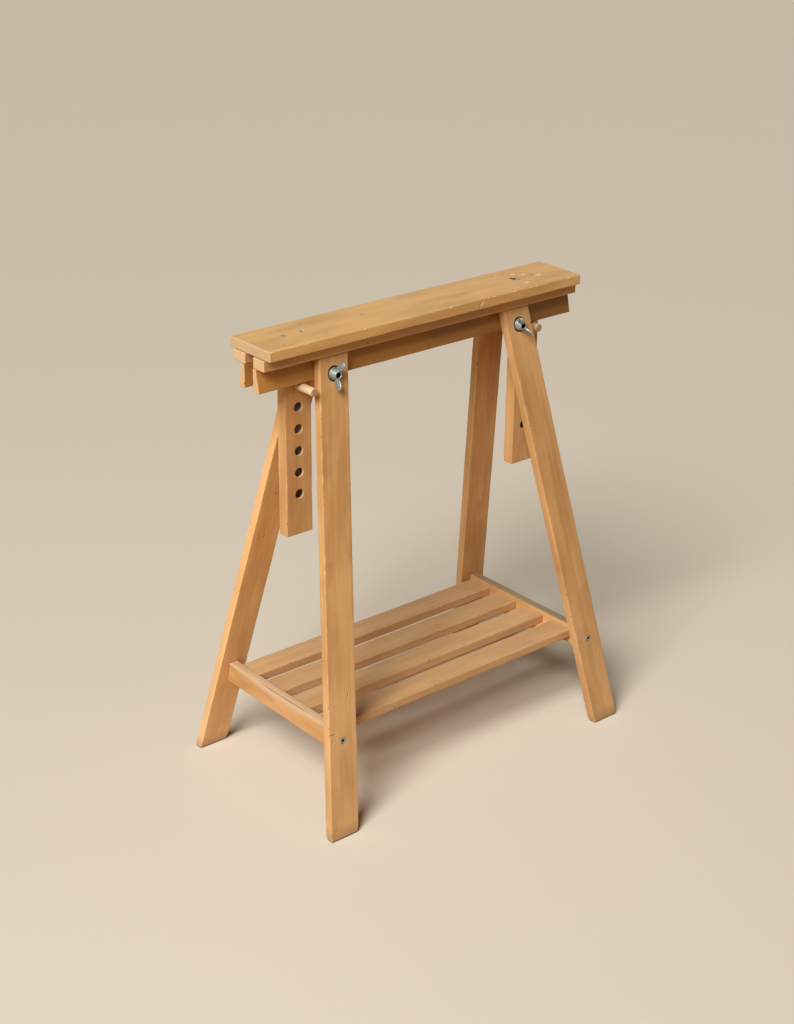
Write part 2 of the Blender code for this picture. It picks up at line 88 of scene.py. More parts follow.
scene = bpy.context.scene
camera_data = bpy.data.cameras.new("camera")
camera_data.sensor_fit = "VERTICAL"
camera_data.sensor_height = SENSOR_HEIGHT
camera_data.lens = FOCAL_PIXELS / IMAGE_HEIGHT * SENSOR_HEIGHT
camera = bpy.data.objects.new("camera", camera_data)
camera.matrix_world = camera_matrix()
scene.collection.objects.link(camera)
scene.camera = camera
print("lens in mm:", round(camera_data.lens, 2))

# %% [markdown]
# ## Small helpers for node trees
# Materials and Geometry Nodes are both trees of nodes joined by links.
# Writing each link out makes a script long, so one helper adds a node, sets its options and fills its
# inputs. An input may be a plain value or another node's output, and the helper sets or links it.
# Colours are written as the 0 to 255 values one reads off a screen, and changed to the linear values that
# Blender uses.

# %% Node helpers
def add_node(tree, kind, inputs=None, **options):
    """Add a node, set its options, and link or set its inputs by name or number."""
    node = tree.nodes.new(kind)
    for option, value in options.items():
        setattr(node, option, value)
    for socket, value in (inputs or {}).items():
        if isinstance(value, bpy.types.NodeSocket):
            tree.links.new(value, node.inputs[socket])
        else:
            node.inputs[socket].default_value = value
    return node


def calculate(tree, operation, first, second=0.0, clamp=False):
    """A Math node's result."""
    node = add_node(tree, "ShaderNodeMath", {0: first, 1: second}, operation=operation, use_clamp=clamp)
    return node.outputs[0]


def vectors(tree, operation, first, second=(0.0, 0.0, 0.0)):
    """A Vector Math node's result."""
    return add_node(tree, "ShaderNodeVectorMath", {0: first, 1: second}, operation=operation).outputs[0]


def remapped(tree, value, low, high, new_low=0.0, new_high=1.0):
    """A value moved smoothly from one range to another, and kept inside it."""
    node = add_node(tree, "ShaderNodeMapRange", {"Value": value, "From Min": low, "From Max": high,
                                                 "To Min": new_low, "To Max": new_high},
                    interpolation_type="SMOOTHSTEP")
    return node.outputs["Result"]


def noise_at(tree, vector, scale, detail=2.0, roughness=0.5):
    """A Noise Texture's value."""
    return add_node(tree, "ShaderNodeTexNoise", {"Vector": vector, "Scale": scale, "Detail": detail,
                                                 "Roughness": roughness}).outputs[0]


def mixed(tree, factor, under, over, blend="MIX"):
    """Two colours mixed by a factor."""
    node = add_node(tree, "ShaderNodeMix", {0: factor, 6: under, 7: over}, data_type="RGBA", blend_type=blend)
    return node.outputs[2]


def paint(red, green, blue):
    """A screen colour as the linear colour a shader takes."""
    linear = []
    for value in (red, green, blue):
        share = value / 255
        linear.append(share / 12.92 if share <= 0.04045 else ((share + 0.055) / 1.055) ** 2.4)
    return (*linear, 1.0)


def new_group(name, kind, inputs, outputs):
    """An empty node group with named sockets, and its entry and exit."""
    tree = bpy.data.node_groups.new(name, kind)
    for socket, socket_type in inputs.items():
        tree.interface.new_socket(socket, in_out="INPUT", socket_type=socket_type)
    for socket, socket_type in outputs.items():
        tree.interface.new_socket(socket, in_out="OUTPUT", socket_type=socket_type)
    entry = tree.nodes.new("NodeGroupInput").outputs
    leave = tree.nodes.new("NodeGroupOutput").inputs
    return tree, entry, leave


print("helpers ready")

# %% [markdown]
# ## Floor and light
# The trestle stands on a plain warm floor that fills the whole picture, so no backdrop is needed.
# A studio would light it from a big window or soft lamp to the left, high up, and let the floor fill the
# shadows. The same is done here: a broad soft sun keeps the floor evenly lit, and an area lamp near by adds
# a little fall-off. The world is pale where it is seen or mirrored, but gives only a little warm light to
# the shadows.

# %% Floor
FLOOR_HALF = 14.0
FLOOR_COLOUR = paint(231, 220, 200)
FLOOR_BOUNCE = paint(218, 186, 148)


def seen_directly(tree):
    """One for rays from the camera, also by way of a reflection, and nothing for light that fills shadows."""
    rays = add_node(tree, "ShaderNodeLightPath").outputs
    seen = calculate(tree, "MAXIMUM", rays["Is Camera Ray"], rays["Is Glossy Ray"])
    return calculate(tree, "MAXIMUM", seen, rays["Is Transmission Ray"])


def make_floor():
    """A large square floor; the light that it throws back up is a little warmer than it looks."""
    shape = bmesh.new()
    bmesh.ops.create_grid(shape, x_segments=4, y_segments=4, size=FLOOR_HALF)
    mesh = bpy.data.meshes.new("floor")
    shape.to_mesh(mesh)
    shape.free()
    floor = bpy.data.objects.new("floor", mesh)
    scene.collection.objects.link(floor)
    material = bpy.data.materials.new("pale_floor")
    material.use_nodes = True
    tree = material.node_tree
    shader = tree.nodes["Principled BSDF"]
    tree.links.new(mixed(tree, seen_directly(tree), FLOOR_BOUNCE, FLOOR_COLOUR), shader.inputs["Base Color"])
    shader.inputs["Roughness"].default_value = 0.9
    shader.inputs["Specular IOR Level"].default_value = 0.1
    mesh.materials.append(material)


make_floor()
print("floor across, in m:", 2 * FLOOR_HALF)

# %% Light
SUBJECT = Vector((0, 0, 0.38))
LIGHT_DIRECTION = Vector((-0.66, -0.31, 0.69))
SUN_STRENGTH = 2.95
SUN_ANGLE = math.radians(29.0)
LAMP_DISTANCE = 2.6
LAMP_SIZE = 1.4
LAMP_POWER = 20.0
WORLD_SEEN = paint(226, 222, 216)
WORLD_FILL = paint(62, 42, 15)


def add_lamp(name, kind, place, aim, power):
    """A lamp aimed at a point and hidden from the camera."""
    data = bpy.data.lights.new(name, kind)
    data.energy = power
    lamp = bpy.data.objects.new(name, data)
    lamp.matrix_world = Matrix.Translation(place) @ (place - aim).to_track_quat("Z", "Y").to_matrix().to_4x4()
    lamp.visible_camera = False
    scene.collection.objects.link(lamp)
    return data


lamp_place = SUBJECT + LIGHT_DIRECTION.normalized() * LAMP_DISTANCE
add_lamp("soft_sun", "SUN", lamp_place, SUBJECT, SUN_STRENGTH).angle = SUN_ANGLE
add_lamp("soft_lamp", "AREA", lamp_place, SUBJECT, LAMP_POWER).size = LAMP_SIZE
world = bpy.data.worlds.new("studio")
world.use_nodes = True
sky = world.node_tree
sky.links.new(mixed(sky, seen_directly(sky), WORLD_FILL, WORLD_SEEN), sky.nodes["Background"].inputs["Color"])
scene.world = world
scene.view_settings.view_transform = "Standard"
print("sun:", SUN_STRENGTH, "lamp:", LAMP_POWER)

# %% [markdown]
# ## What wood looks like, as node groups
# A plank is a slice of a trunk, so its figure is a cut through nested rings, drawn out along the grain.
# The group below takes a place inside the plank and gives four patterns: rings, long streaks, fine fibres
# and broad blotches. A second group finds worn edges and a third scatters the marks of use.
# Groups are built once and every wooden finish uses them with its own values.

# %% Grain group
RING_WAVE = math.pi / 10          # a ring pattern of scale 1 has rings this far apart
# how fine each pattern is along and across the grain, and its detail
PATTERNS = {"Streaks": ((3.0, 170.0, 170.0), 2.0), "Fibres": ((30.0, 1500.0, 1500.0), 2.0),
            "Blotches": ((8.0, 32.0, 32.0), 3.0)}


def own_place(tree, entry, shift):
    """A place shifted by the plank's own number, so that no two planks show the same pattern."""
    return vectors(tree, "ADD", entry["Place"], vectors(tree, "MULTIPLY", entry["Board"], shift))


def make_grain_group():
    """Rings, streaks, fibres and blotches from a place in a plank whose X runs along the grain."""
    tree, entry, leave = new_group(
        "wood_grain", "ShaderNodeTree",
        {"Place": "NodeSocketVector", "Board": "NodeSocketFloat", "Ring Width": "NodeSocketFloat"},
        {"Rings": "NodeSocketFloat", "Streaks": "NodeSocketFloat", "Fibres": "NodeSocketFloat",
         "Blotches": "NodeSocketFloat"})
    heart = add_node(tree, "ShaderNodeCombineXYZ", {
        0: entry["Board"],
        1: remapped(tree, entry["Board"], 0.0, 1.0, -0.03, 0.04),
        2: remapped(tree, entry["Board"], 0.0, 1.0, 0.02, 0.075)}).outputs[0]
    from_heart = vectors(tree, "ADD", entry["Place"], heart)
    rings = add_node(tree, "ShaderNodeTexWave", {
        "Vector": vectors(tree, "MULTIPLY", from_heart, (0.05, 1.0, 1.0)),
        "Scale": calculate(tree, "DIVIDE", RING_WAVE, entry["Ring Width"]),
        "Distortion": 7.0, "Detail": 2.0, "Detail Scale": 0.8, "Detail Roughness": 0.5},
        wave_type="RINGS", rings_direction="X", wave_profile="SIN")
    tree.links.new(rings.outputs["Fac"], leave["Rings"])
    shifted = own_place(tree, entry, (9.0, 4.0, 7.0))
    for name, (stretch, detail) in PATTERNS.items():
        stretched = vectors(tree, "MULTIPLY", shifted, stretch)
        tree.links.new(noise_at(tree, stretched, 1.0, detail), leave[name])
    return tree


grain_group = make_grain_group()
print("group:", grain_group.name)

# %% Wear and marks groups
def make_wear_group():
    """Where handling has rubbed the finish off: along the edges, in an uneven way."""
    tree, entry, leave = new_group(
        "edge_wear", "ShaderNodeTree",
        {"Place": "NodeSocketVector", "Edge": "NodeSocketFloat", "Board": "NodeSocketFloat"},
        {"Worn": "NodeSocketFloat", "Chipped": "NodeSocketFloat"})
    shifted = own_place(tree, entry, (5.0, 5.0, 5.0))
    patches = noise_at(tree, shifted, 45.0, 4.0, 0.6)
    reach = calculate(tree, "MULTIPLY", entry["Edge"], remapped(tree, patches, 0.35, 0.65))
    tree.links.new(remapped(tree, reach, 0.35, 0.95), leave["Worn"])
    nicks = noise_at(tree, shifted, 130.0, 2.0, 0.6)
    bitten = calculate(tree, "MULTIPLY", entry["Edge"], remapped(tree, nicks, 0.63, 0.72))
    tree.links.new(remapped(tree, bitten, 0.45, 0.8), leave["Chipped"])
    return tree


def make_marks_group():
    """Stains, small dark specks and short scratches of a well used surface."""
    tree, entry, leave = new_group(
        "marks_of_use", "ShaderNodeTree",
        {"Place": "NodeSocketVector", "Board": "NodeSocketFloat"},
        {"Stains": "NodeSocketFloat", "Specks": "NodeSocketFloat", "Scratches": "NodeSocketFloat"})
    shifted = own_place(tree, entry, (3.0, 3.0, 3.0))
    stains = noise_at(tree, vectors(tree, "MULTIPLY", shifted, (14.0, 26.0, 26.0)), 1.0, 5.0, 0.62)
    tree.links.new(remapped(tree, stains, 0.56, 0.76), leave["Stains"])
    cells = add_node(tree, "ShaderNodeTexVoronoi", {"Vector": shifted, "Scale": 42.0, "Randomness": 1.0})
    chance = add_node(tree, "ShaderNodeSeparateColor", {0: cells.outputs["Color"]}).outputs[0]
    chosen = remapped(tree, chance, 0.79, 0.86)
    near = remapped(tree, cells.outputs["Distance"], 0.02, 0.10, 1.0, 0.0)
    tree.links.new(calculate(tree, "MULTIPLY", near, chosen), leave["Specks"])
    lines = noise_at(tree, vectors(tree, "MULTIPLY", shifted, (55.0, 420.0, 420.0)), 1.0, 1.0)
    tree.links.new(remapped(tree, lines, 0.70, 0.78), leave["Scratches"])
    return tree


wear_group = make_wear_group()
marks_group = make_marks_group()
print("groups:", wear_group.name, marks_group.name)

# %% [markdown]
# ## The wooden finishes
# The board, the frame, the slats and the pins are the same kind of pale hardwood, aged differently:
# the lacquered frame has turned honey yellow, while slats and pins are drier and paler. The rails' darker
# brown is painted shade.
# One function makes them all. It reads attributes that every plank carries: "grain" is the place in the
# plank, "board" a number of its own, "tone" how light it is (painted shade on some pieces), and "edge" and
# "end" how near an edge or end grain is. Some planks also say where they are cut deep and painted dark as
# shade ("bore"), dented or paler towards the floor ("fresh"), rubbed by feet ("rubbed") or dirty ("soiled").

# %% Wood figure
STREAK_SHARE = 0.2
FIBRE_SHARE = 0.14


def attribute(tree, name, output="Fac"):
    """A value stored on the mesh."""
    return add_node(tree, "ShaderNodeAttribute", attribute_name=name).outputs[output]


def use_group(tree, group, inputs):
    """Place a node group in a tree."""
    return add_node(tree, "ShaderNodeGroup", inputs, node_tree=group).outputs


def wood_figure(tree, grain, ring_share):
    """How light the wood's figure is: rings, streaks, fibres and blotches, whose shares add up to one."""
    blotch_share = 1.0 - FIBRE_SHARE - ring_share - STREAK_SHARE
    figure = calculate(tree, "MULTIPLY", grain["Rings"], ring_share)
    for name, share in (("Streaks", STREAK_SHARE), ("Fibres", FIBRE_SHARE), ("Blotches", blotch_share)):
        pattern = calculate(tree, "MULTIPLY", remapped(tree, grain[name], 0.3, 0.7), share)
        figure = calculate(tree, "ADD", figure, pattern)
    return figure


def foot_grime(tree, blotches):
    """Dirt on the lowest millimetres above the floor, with splashes a little higher up."""
    place = add_node(tree, "ShaderNodeTexCoord").outputs["Object"]
    height = add_node(tree, "ShaderNodeSeparateXYZ", {0: place}).outputs[2]
    splashed = calculate(tree, "MULTIPLY", remapped(tree, height, 0.004, 0.024, 0.6, 0.0), blotches)
    return calculate(tree, "MAXIMUM", remapped(tree, height, 0.001, 0.0045, 1.0, 0.0), splashed)


print("shares of streaks and fibres:", STREAK_SHARE, FIBRE_SHARE)

# %% Wood finish
RUBBED = paint(205, 171, 133)
FRESH = paint(240, 206, 160)
SOILED = paint(134, 118, 92)
GRIME = paint(66, 56, 46)
# painted shade deep inside holes, counterbores and cuts
BORE_SHADE = paint(72, 45, 21)
STAINED = paint(150, 103, 58)
CHIPPED = paint(122, 84, 50)
SPECKED = paint(84, 56, 36)
END_SHARE = 0.75
WORN_SHARE = 0.3
CHIP_SHARE = 0.7
SPECK_SHARE = 0.8


def make_wood(name, dark, light, end_colour, worn_colour, ring_width, ring_share, stain_share, roughness=0.5):
    """A lacquered wood whose figure follows each plank."""
    material = bpy.data.materials.new(name)
    material.use_nodes = True
    tree = material.node_tree
    shader = tree.nodes["Principled BSDF"]
    place = attribute(tree, "grain", "Vector")
    board = attribute(tree, "board")
    grain = use_group(tree, grain_group, {"Place": place, "Board": board, "Ring Width": ring_width})
    wear = use_group(tree, wear_group, {"Place": place, "Edge": attribute(tree, "edge"), "Board": board})
    marks = use_group(tree, marks_group, {"Place": place, "Board": board})

    colour = mixed(tree, wood_figure(tree, grain, ring_share), dark, light)
    toned = add_node(tree, "ShaderNodeHueSaturation", {"Color": colour, "Value": attribute(tree, "tone")})
    colour = toned.outputs[0]
    uneven = remapped(tree, grain["Blotches"], 0.25, 0.6, 0.7, 1.0)
    coats = (
        (marks["Stains"], stain_share, STAINED),
        (attribute(tree, "end"), END_SHARE, end_colour),
        (wear["Worn"], WORN_SHARE, worn_colour),
        (wear["Chipped"], CHIP_SHARE, CHIPPED),
        (marks["Specks"], SPECK_SHARE, SPECKED),
        (attribute(tree, "rubbed"), uneven, RUBBED),
        (attribute(tree, "soiled"), uneven, SOILED),
        (attribute(tree, "fresh"), uneven, FRESH),
        (foot_grime(tree, grain["Blotches"]), uneven, GRIME),
        # the last coat is painted shade deep in cuts and holes
        (attribute(tree, "bore"), uneven, BORE_SHADE))
    for mask, share, over in coats:
        colour = mixed(tree, calculate(tree, "MULTIPLY", mask, share), colour, over)
    tree.links.new(colour, shader.inputs["Base Color"])

    dull = calculate(tree, "MULTIPLY", wear["Worn"], 0.15)
    sheen = remapped(tree, grain["Blotches"], 0.3, 0.7, roughness - 0.06, roughness + 0.08)
    tree.links.new(calculate(tree, "ADD", sheen, dull), shader.inputs["Roughness"])
    shader.inputs["Specular IOR Level"].default_value = 0.25

    relief = calculate(tree, "ADD", calculate(tree, "MULTIPLY", grain["Fibres"], 0.25),
                       calculate(tree, "MULTIPLY", grain["Streaks"], 0.35))
    hollows = calculate(tree, "ADD", marks["Specks"], calculate(tree, "MULTIPLY", marks["Scratches"], 0.4))
    relief = calculate(tree, "SUBTRACT", relief, hollows)
    bump = add_node(tree, "ShaderNodeBump", {"Strength": 0.35, "Distance": 0.0006, "Height": relief})
    tree.links.new(bump.outputs[0], shader.inputs["Normal"])
    return material


WOODS = {
    "board_wood": make_wood("board_wood", paint(190, 142, 83), paint(227, 182, 120), paint(198, 173, 138),
                            paint(222, 187, 138), ring_width=0.009, ring_share=0.08, stain_share=0.18),
    "frame_wood": make_wood("frame_wood", paint(189, 139, 83), paint(227, 179, 121), paint(228, 192, 146),
                            paint(226, 188, 136), ring_width=0.007, ring_share=0.08, stain_share=0.28),
    # the rails' darker brown is painted shade under the board's overhang
    "shaded_rail_wood": make_wood("shaded_rail_wood", paint(147, 98, 44), paint(177, 127, 65), paint(228, 192, 146),
                           paint(200, 152, 92), ring_width=0.007, ring_share=0.08, stain_share=0.15),
    "slat_wood": make_wood("slat_wood", paint(190, 144, 94), paint(214, 172, 122), paint(208, 168, 120),
                           paint(222, 188, 144), ring_width=0.006, ring_share=0.12, stain_share=0.25,
                           roughness=0.58),
    "pin_wood": make_wood("pin_wood", paint(214, 182, 140), paint(236, 210, 172), paint(160, 130, 94),
                          paint(230, 204, 166), ring_width=0.003, ring_share=0.18, stain_share=0.3,
                          roughness=0.6),
}
print("finishes:", ", ".join(WOODS))

# %% [markdown]
# ## Planks with worn edges
# A planed plank is a box whose edges were eased with sandpaper and then rubbed and knocked for years.
# A Bevel modifier would give every edge the same even round. Here each plank starts as a box of grid lines,
# close together near the edges, and every point near an edge is pulled onto a round whose radius wanders
# along the edge. The plank is made in its own frame, length along X, and then set in place, so its grain is
# known for every point.

# %% Plank grid
RIM_STEPS = (0.0, 0.0004, 0.0009, 0.0016, 0.0027, 0.0042)
PLANK_SPACING = 0.004
SAFE_SHARE = 0.8


def grid_lines(half):
    """Grid lines along one direction: close together near the edges and wide apart between them."""
    rim = [half - step for step in RIM_STEPS if step < half * SAFE_SHARE]
    count = max(1, round(2 * rim[-1] / PLANK_SPACING))
    middle = np.linspace(-rim[-1], rim[-1], count + 1)
    return np.concatenate([[-place for place in rim[:-1]], middle, rim[-2::-1]])


def box_grid(half):
    """The points and four-sided faces of a box with grid lines on its sides."""
    lines = [grid_lines(size) for size in half]
    points, faces, count = [], [], 0
    for axis in range(3):
        first, second = (axis + 1) % 3, (axis + 2) % 3
        u, v = np.meshgrid(lines[first], lines[second], indexing="ij")
        index = np.arange(u.size).reshape(u.shape)
        quads = np.stack([index[:-1, :-1], index[1:, :-1], index[1:, 1:], index[:-1, 1:]], -1).reshape(-1, 4)
        for sign in (-1, 1):
            side = np.empty((u.size, 3))
            side[:, axis] = sign * half[axis]
            side[:, first] = u.ravel()
            side[:, second] = v.ravel()
            points.append(side)
            faces.append((quads if sign > 0 else quads[:, ::-1]) + count)
            count += u.size
    points, merged = np.unique(np.round(np.concatenate(points), 8), axis=0, return_inverse=True)
    return points, merged.reshape(-1)[np.concatenate(faces)]


points, faces = box_grid(np.array((0.29, 0.0455, 0.0075)))
print("the grid of a plank of the board's size:", len(points), "points,", len(faces), "faces")

# %% Edge wear
EDGE_ROUND = 0.0011
ROUND_WANDER = 0.7
WANDER_PITCH = 0.035
CHIP_DEPTH = 0.0022
CHIP_PITCH = 0.011
CHIP_LIMIT = 0.30
LEAST_ROUND = 0.0003
MOST_ROUND = 0.45                 # as a share of half the plank's thickness
GRID_SLACK = 1e-6


def edge_radius(point, shift):
    """How round an edge is worn at a point, with a few deeper chips."""
    wander = noise.noise(point / WANDER_PITCH + shift)
    chip = max(0.0, noise.noise(point / CHIP_PITCH - shift) - CHIP_LIMIT)
    return EDGE_ROUND * (1.0 + ROUND_WANDER * wander) + CHIP_DEPTH * chip


def wear_edges(points, half, seed, foot_round):
    """Pull the points near an edge onto a round of uneven radius, which may be larger at the foot."""
    own = random.Random(seed)
    shift = Vector((own.uniform(0, 50), own.uniform(0, 50), own.uniform(0, 50)))
    to_edge = np.sort(half - np.abs(points), axis=1)[:, 1]
    limit = MOST_ROUND * half.min()
    worn = points.copy()
    for number in np.nonzero(to_edge < RIM_STEPS[-1] + GRID_SLACK)[0]:
        radius = edge_radius(Vector(points[number]), shift)
        if points[number, 0] > half[0] - RIM_STEPS[-1] - GRID_SLACK:
            radius += foot_round
        radius = min(max(radius, LEAST_ROUND), limit)
        core = np.clip(points[number], radius - half, half - radius)
        out = points[number] - core
        length = np.linalg.norm(out)
        if length > 0:
            worn[number] = core + out * (radius / length)
    return worn


print("edges rounded by about", EDGE_ROUND * 1000, "mm")

# %% Marks on wood
EDGE_REACH = 0.005
END_REACH = 0.0008


def store(mesh, name, kind, values):
    """Keep a value for each point of a mesh."""
    layer = mesh.attributes.get(name) or mesh.attributes.new(name, kind, "POINT")
    field = "vector" if kind == "FLOAT_VECTOR" else "value"
    layer.data.foreach_set(field, np.ascontiguousarray(values, dtype=np.float32).ravel())


def plank_edges(local, half):
    """How far each point of a plank is from its nearest edge, and from its nearest end."""
    depth = np.sort(np.maximum(half - np.abs(local), 0.0), axis=1)
    return depth[:, 1], half[0] - np.abs(local[:, 0])


def mark_wood(mesh, local, to_edge, to_end, seed, tone):
    """Tell each point its place in the grain, how near edges and ends are, and its plank's own values."""
    store(mesh, "grain", "FLOAT_VECTOR", local)
    store(mesh, "edge", "FLOAT", np.clip(1.0 - to_edge / EDGE_REACH, 0.0, 1.0))
    store(mesh, "end", "FLOAT", np.clip(1.0 - to_end / END_REACH, 0.0, 1.0))
    store(mesh, "board", "FLOAT", np.full(len(local), random.Random(seed).random()))
    store(mesh, "tone", "FLOAT", np.full(len(local), tone))


print("wear reaches", EDGE_REACH * 1000, "mm in from an edge")

# %% Worn planks
def placed(matrix, points):
    """Points moved by a matrix."""
    moved = np.array(matrix.to_3x3()) @ points.T
    return moved.T + np.array(matrix.translation)


def new_piece(name, mesh, material):
    """An object at the origin that shows a mesh in one finish."""
    mesh.materials.clear()
    mesh.materials.append(material)
    piece = bpy.data.objects.new(name, mesh)
    scene.collection.objects.link(piece)
    return piece


Plank = namedtuple("Plank", "half place seed tone foot_round", defaults=(1.0, 0.0))


def worn_plank(name, plank, material, shaped=None):
    """A plank with worn edges; shaped may change its outline in the plank's own frame."""
    half = np.array(plank.half)
    points, faces = box_grid(half)
    worn = wear_edges(points, half, plank.seed, plank.foot_round)
    if shaped:
        worn = shaped(worn)
    mesh = bpy.data.meshes.new(name)
    mesh.from_pydata(placed(plank.place, worn).tolist(), [], faces.tolist())
    mark_wood(mesh, points, *plank_edges(points, half), plank.seed, plank.tone)
    mesh.shade_smooth()
    return new_piece(name, mesh, material)


def lies_along(centre, along, across):
    """The place of a plank from its centre, the direction of its length and that of its width."""
    along, across = Vector(along), Vector(across)
    turn = Matrix((along, across, along.cross(across))).transposed()
    return Matrix.Translation(centre) @ turn.to_4x4()


def dress(piece, body, slot, *nodes):
    """Let a piece ride on a body and stand for its CAD nodes; slot, a finish of the record, is not used."""
    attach(piece, body)
    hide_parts(*nodes)


print("a plank has:", ", ".join(Plank._fields))

# %% [markdown]
# ## Drilling
# Several planks have round holes: the rows of peg holes, the counterbores for the nuts and the seats of
# screws. A drill is a turned solid, spun from half of its outline, and a Boolean modifier takes it out of
# the plank. The modifier is applied at once with new_from_object, because a finished piece should be a plain
# mesh. New points along a cut have no marks of their own, so the plank is marked again afterwards.
# Knocks and splits are cut in the same way, with a small angular cutter: shallow ones show pale wood, and
# deep ones are painted dark as shade.

# %% Turned solids
X, Y, Z = Vector((1, 0, 0)), Vector((0, 1, 0)), Vector((0, 0, 1))
FORWARD = Matrix.Rotation(math.radians(90.0), 4, "X")      # turns Z to the front
SMOOTH_LIMIT = math.radians(38.0)
DRILL_STEPS = 48
DRILL_START = 0.004               # how far a drill stands out of the face


def turned(outline, steps, place):
    """Spin half an outline of (radius, height) points about Z and set the solid in place."""
    shape = bmesh.new()
    verts = [shape.verts.new((radius, 0, height)) for radius, height in outline]
    lines = [shape.edges.new(pair) for pair in zip(verts, verts[1:])]
    bmesh.ops.spin(shape, geom=verts + lines, axis=(0, 0, 1), angle=math.tau, steps=steps, use_merge=True)
    bmesh.ops.remove_doubles(shape, verts=shape.verts, dist=1e-7)
    bmesh.ops.recalc_face_normals(shape, faces=shape.faces)
    bmesh.ops.transform(shape, matrix=place, verts=shape.verts)
    mesh = bpy.data.meshes.new("turned")
    shape.to_mesh(mesh)
    shape.free()
    mesh.shade_smooth()
    mesh.set_sharp_from_angle(angle=SMOOTH_LIMIT)
    return mesh


def seat_outline(radius, depth):
    """Half the outline of a drill for a flat round seat."""
    return [(0, DRILL_START), (radius, DRILL_START), (radius, -depth), (0, -depth)]


print("drills are spun in", DRILL_STEPS, "steps")

# %% Cutters for scars
GOUGE_SHARES = (0.25, 0.75)       # a gouge is widest and deepest between these shares of its length
HOLLOW_TAPER = 0.8
SPLINTER_CORNERS = 6
SPLINTER_REACH = (0.7, 1.15)


def hull(corners):
    """The smallest solid round some corners."""
    shape = bmesh.new()
    for corner in corners:
        shape.verts.new(corner)
    bmesh.ops.convex_hull(shape, input=shape.verts)
    mesh = bpy.data.meshes.new("cutter")
    shape.to_mesh(mesh)
    shape.free()
    return mesh


def gouge(start, end, facing, width, depth):
    """A long cutter with pointed ends that leaves a gouge from one point of a face to another."""
    start, end, facing = Vector(start), Vector(end), Vector(facing)
    across = facing.cross(end - start).normalized() * width / 2
    corners = [start, end]
    for share in GOUGE_SHARES:
        spot = start.lerp(end, share)
        corners += [spot + across, spot - across, spot + facing * depth, spot - facing * depth]
    return hull(corners)


def hollow(outline, top, depth):
    """A cutter that leaves a flat hollow of a given outline in a level face."""
    middle = sum((Vector(corner) for corner in outline), Vector((0, 0))) / len(outline)
    corners = []
    for corner in outline:
        low = middle.lerp(Vector(corner), HOLLOW_TAPER)
        corners += [(*corner, top + depth), (*low, top - depth)]
    return hull(corners)


def splinter(x, y, size, own):
    """An uneven outline round a place, twice as long along X as across."""
    corners = []
    for number in range(SPLINTER_CORNERS):
        angle = math.tau * number / SPLINTER_CORNERS
        reach = size * own.uniform(*SPLINTER_REACH)
        corners.append((x + reach * math.cos(angle), y + reach * math.sin(angle) / 2))
    return corners


print("a splinter has", SPLINTER_CORNERS, "corners")

# %% Drilling
def settle(piece):
    """Turn a piece with modifiers into a plain mesh."""
    evaluated = piece.evaluated_get(bpy.context.evaluated_depsgraph_get())
    mesh = bpy.data.meshes.new_from_object(evaluated)
    piece.modifiers.clear()
    piece.data = mesh
    return mesh


def drill(piece, drills):
    """Take drills and other cutters out of a piece."""
    cutters = []
    for number, mesh in enumerate(drills):
        cutter = bpy.data.objects.new(f"drill_{number}", mesh)
        scene.collection.objects.link(cutter)
        modifier = piece.modifiers.new(cutter.name, "BOOLEAN")
        modifier.object = cutter
        cutters.append(cutter)
    mesh = settle(piece)
    for cutter in cutters:
        bpy.data.objects.remove(cutter)
    mesh.set_sharp_from_angle(angle=SMOOTH_LIMIT)
    return mesh


print("drilled pieces are smooth up to", round(math.degrees(SMOOTH_LIMIT)), "degrees")

# %% Marks after drilling
DENT_START = 0.0003
DENT_REACH = 0.0004
BORE_START = 0.0008
BORE_REACH = 0.0012


def points_of(mesh):
    """A mesh's points as an array."""
    values = np.empty(len(mesh.vertices) * 3, dtype=np.float32)
    mesh.vertices.foreach_get("co", values)
    return values.reshape(-1, 3).astype(float)


def mark_again(mesh, plank, slant=(0.0, 0.0), paled=0.0):
    """Mark a drilled plank by where its points lie in its own frame, with its dents, paler foot and the
    painted shade deep in its cuts.
    """
    local = placed(plank.place.inverted(), points_of(mesh))
    local[:, 0] += local[:, 1:] @ np.array(slant)
    half = np.array(plank.half)
    mark_wood(mesh, local, *plank_edges(local, half), plank.seed, plank.tone)
    inside = (half - np.abs(local)).min(1)
    store(mesh, "fresh", "FLOAT", np.maximum(np.clip((inside - DENT_START) / DENT_REACH, 0.0, 1.0), paled))
    # painted shade: points deep inside a cut or hole are darkened
    store(mesh, "bore", "FLOAT", np.clip((inside - BORE_START) / BORE_REACH, 0.0, 1.0))


def plank_box(node):
    """The centre and half sizes of a CAD node."""
    low, high = (Vector(corner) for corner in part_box(node))
    return (low + high) / 2, (high - low) / 2


print("cuts are pale from", DENT_START * 1000, "mm and dark from", BORE_START * 1000, "mm")

# %% [markdown]
# ## The top unit
# The top is a plank on two battens, with two flat posts below it that slide down between the rails.
# The posts are drilled with a row of holes for the pins, and the board has two recessed screws above each
# post. All are worn planks: their size and place come from the boxes of the CAD nodes they stand for.
# Years of work have marked the board: a patch is torn out beside one screw, and it has pits, pale flakes and
# nicks. A bump in the material would look flat from the side, so each scar is a real cut.

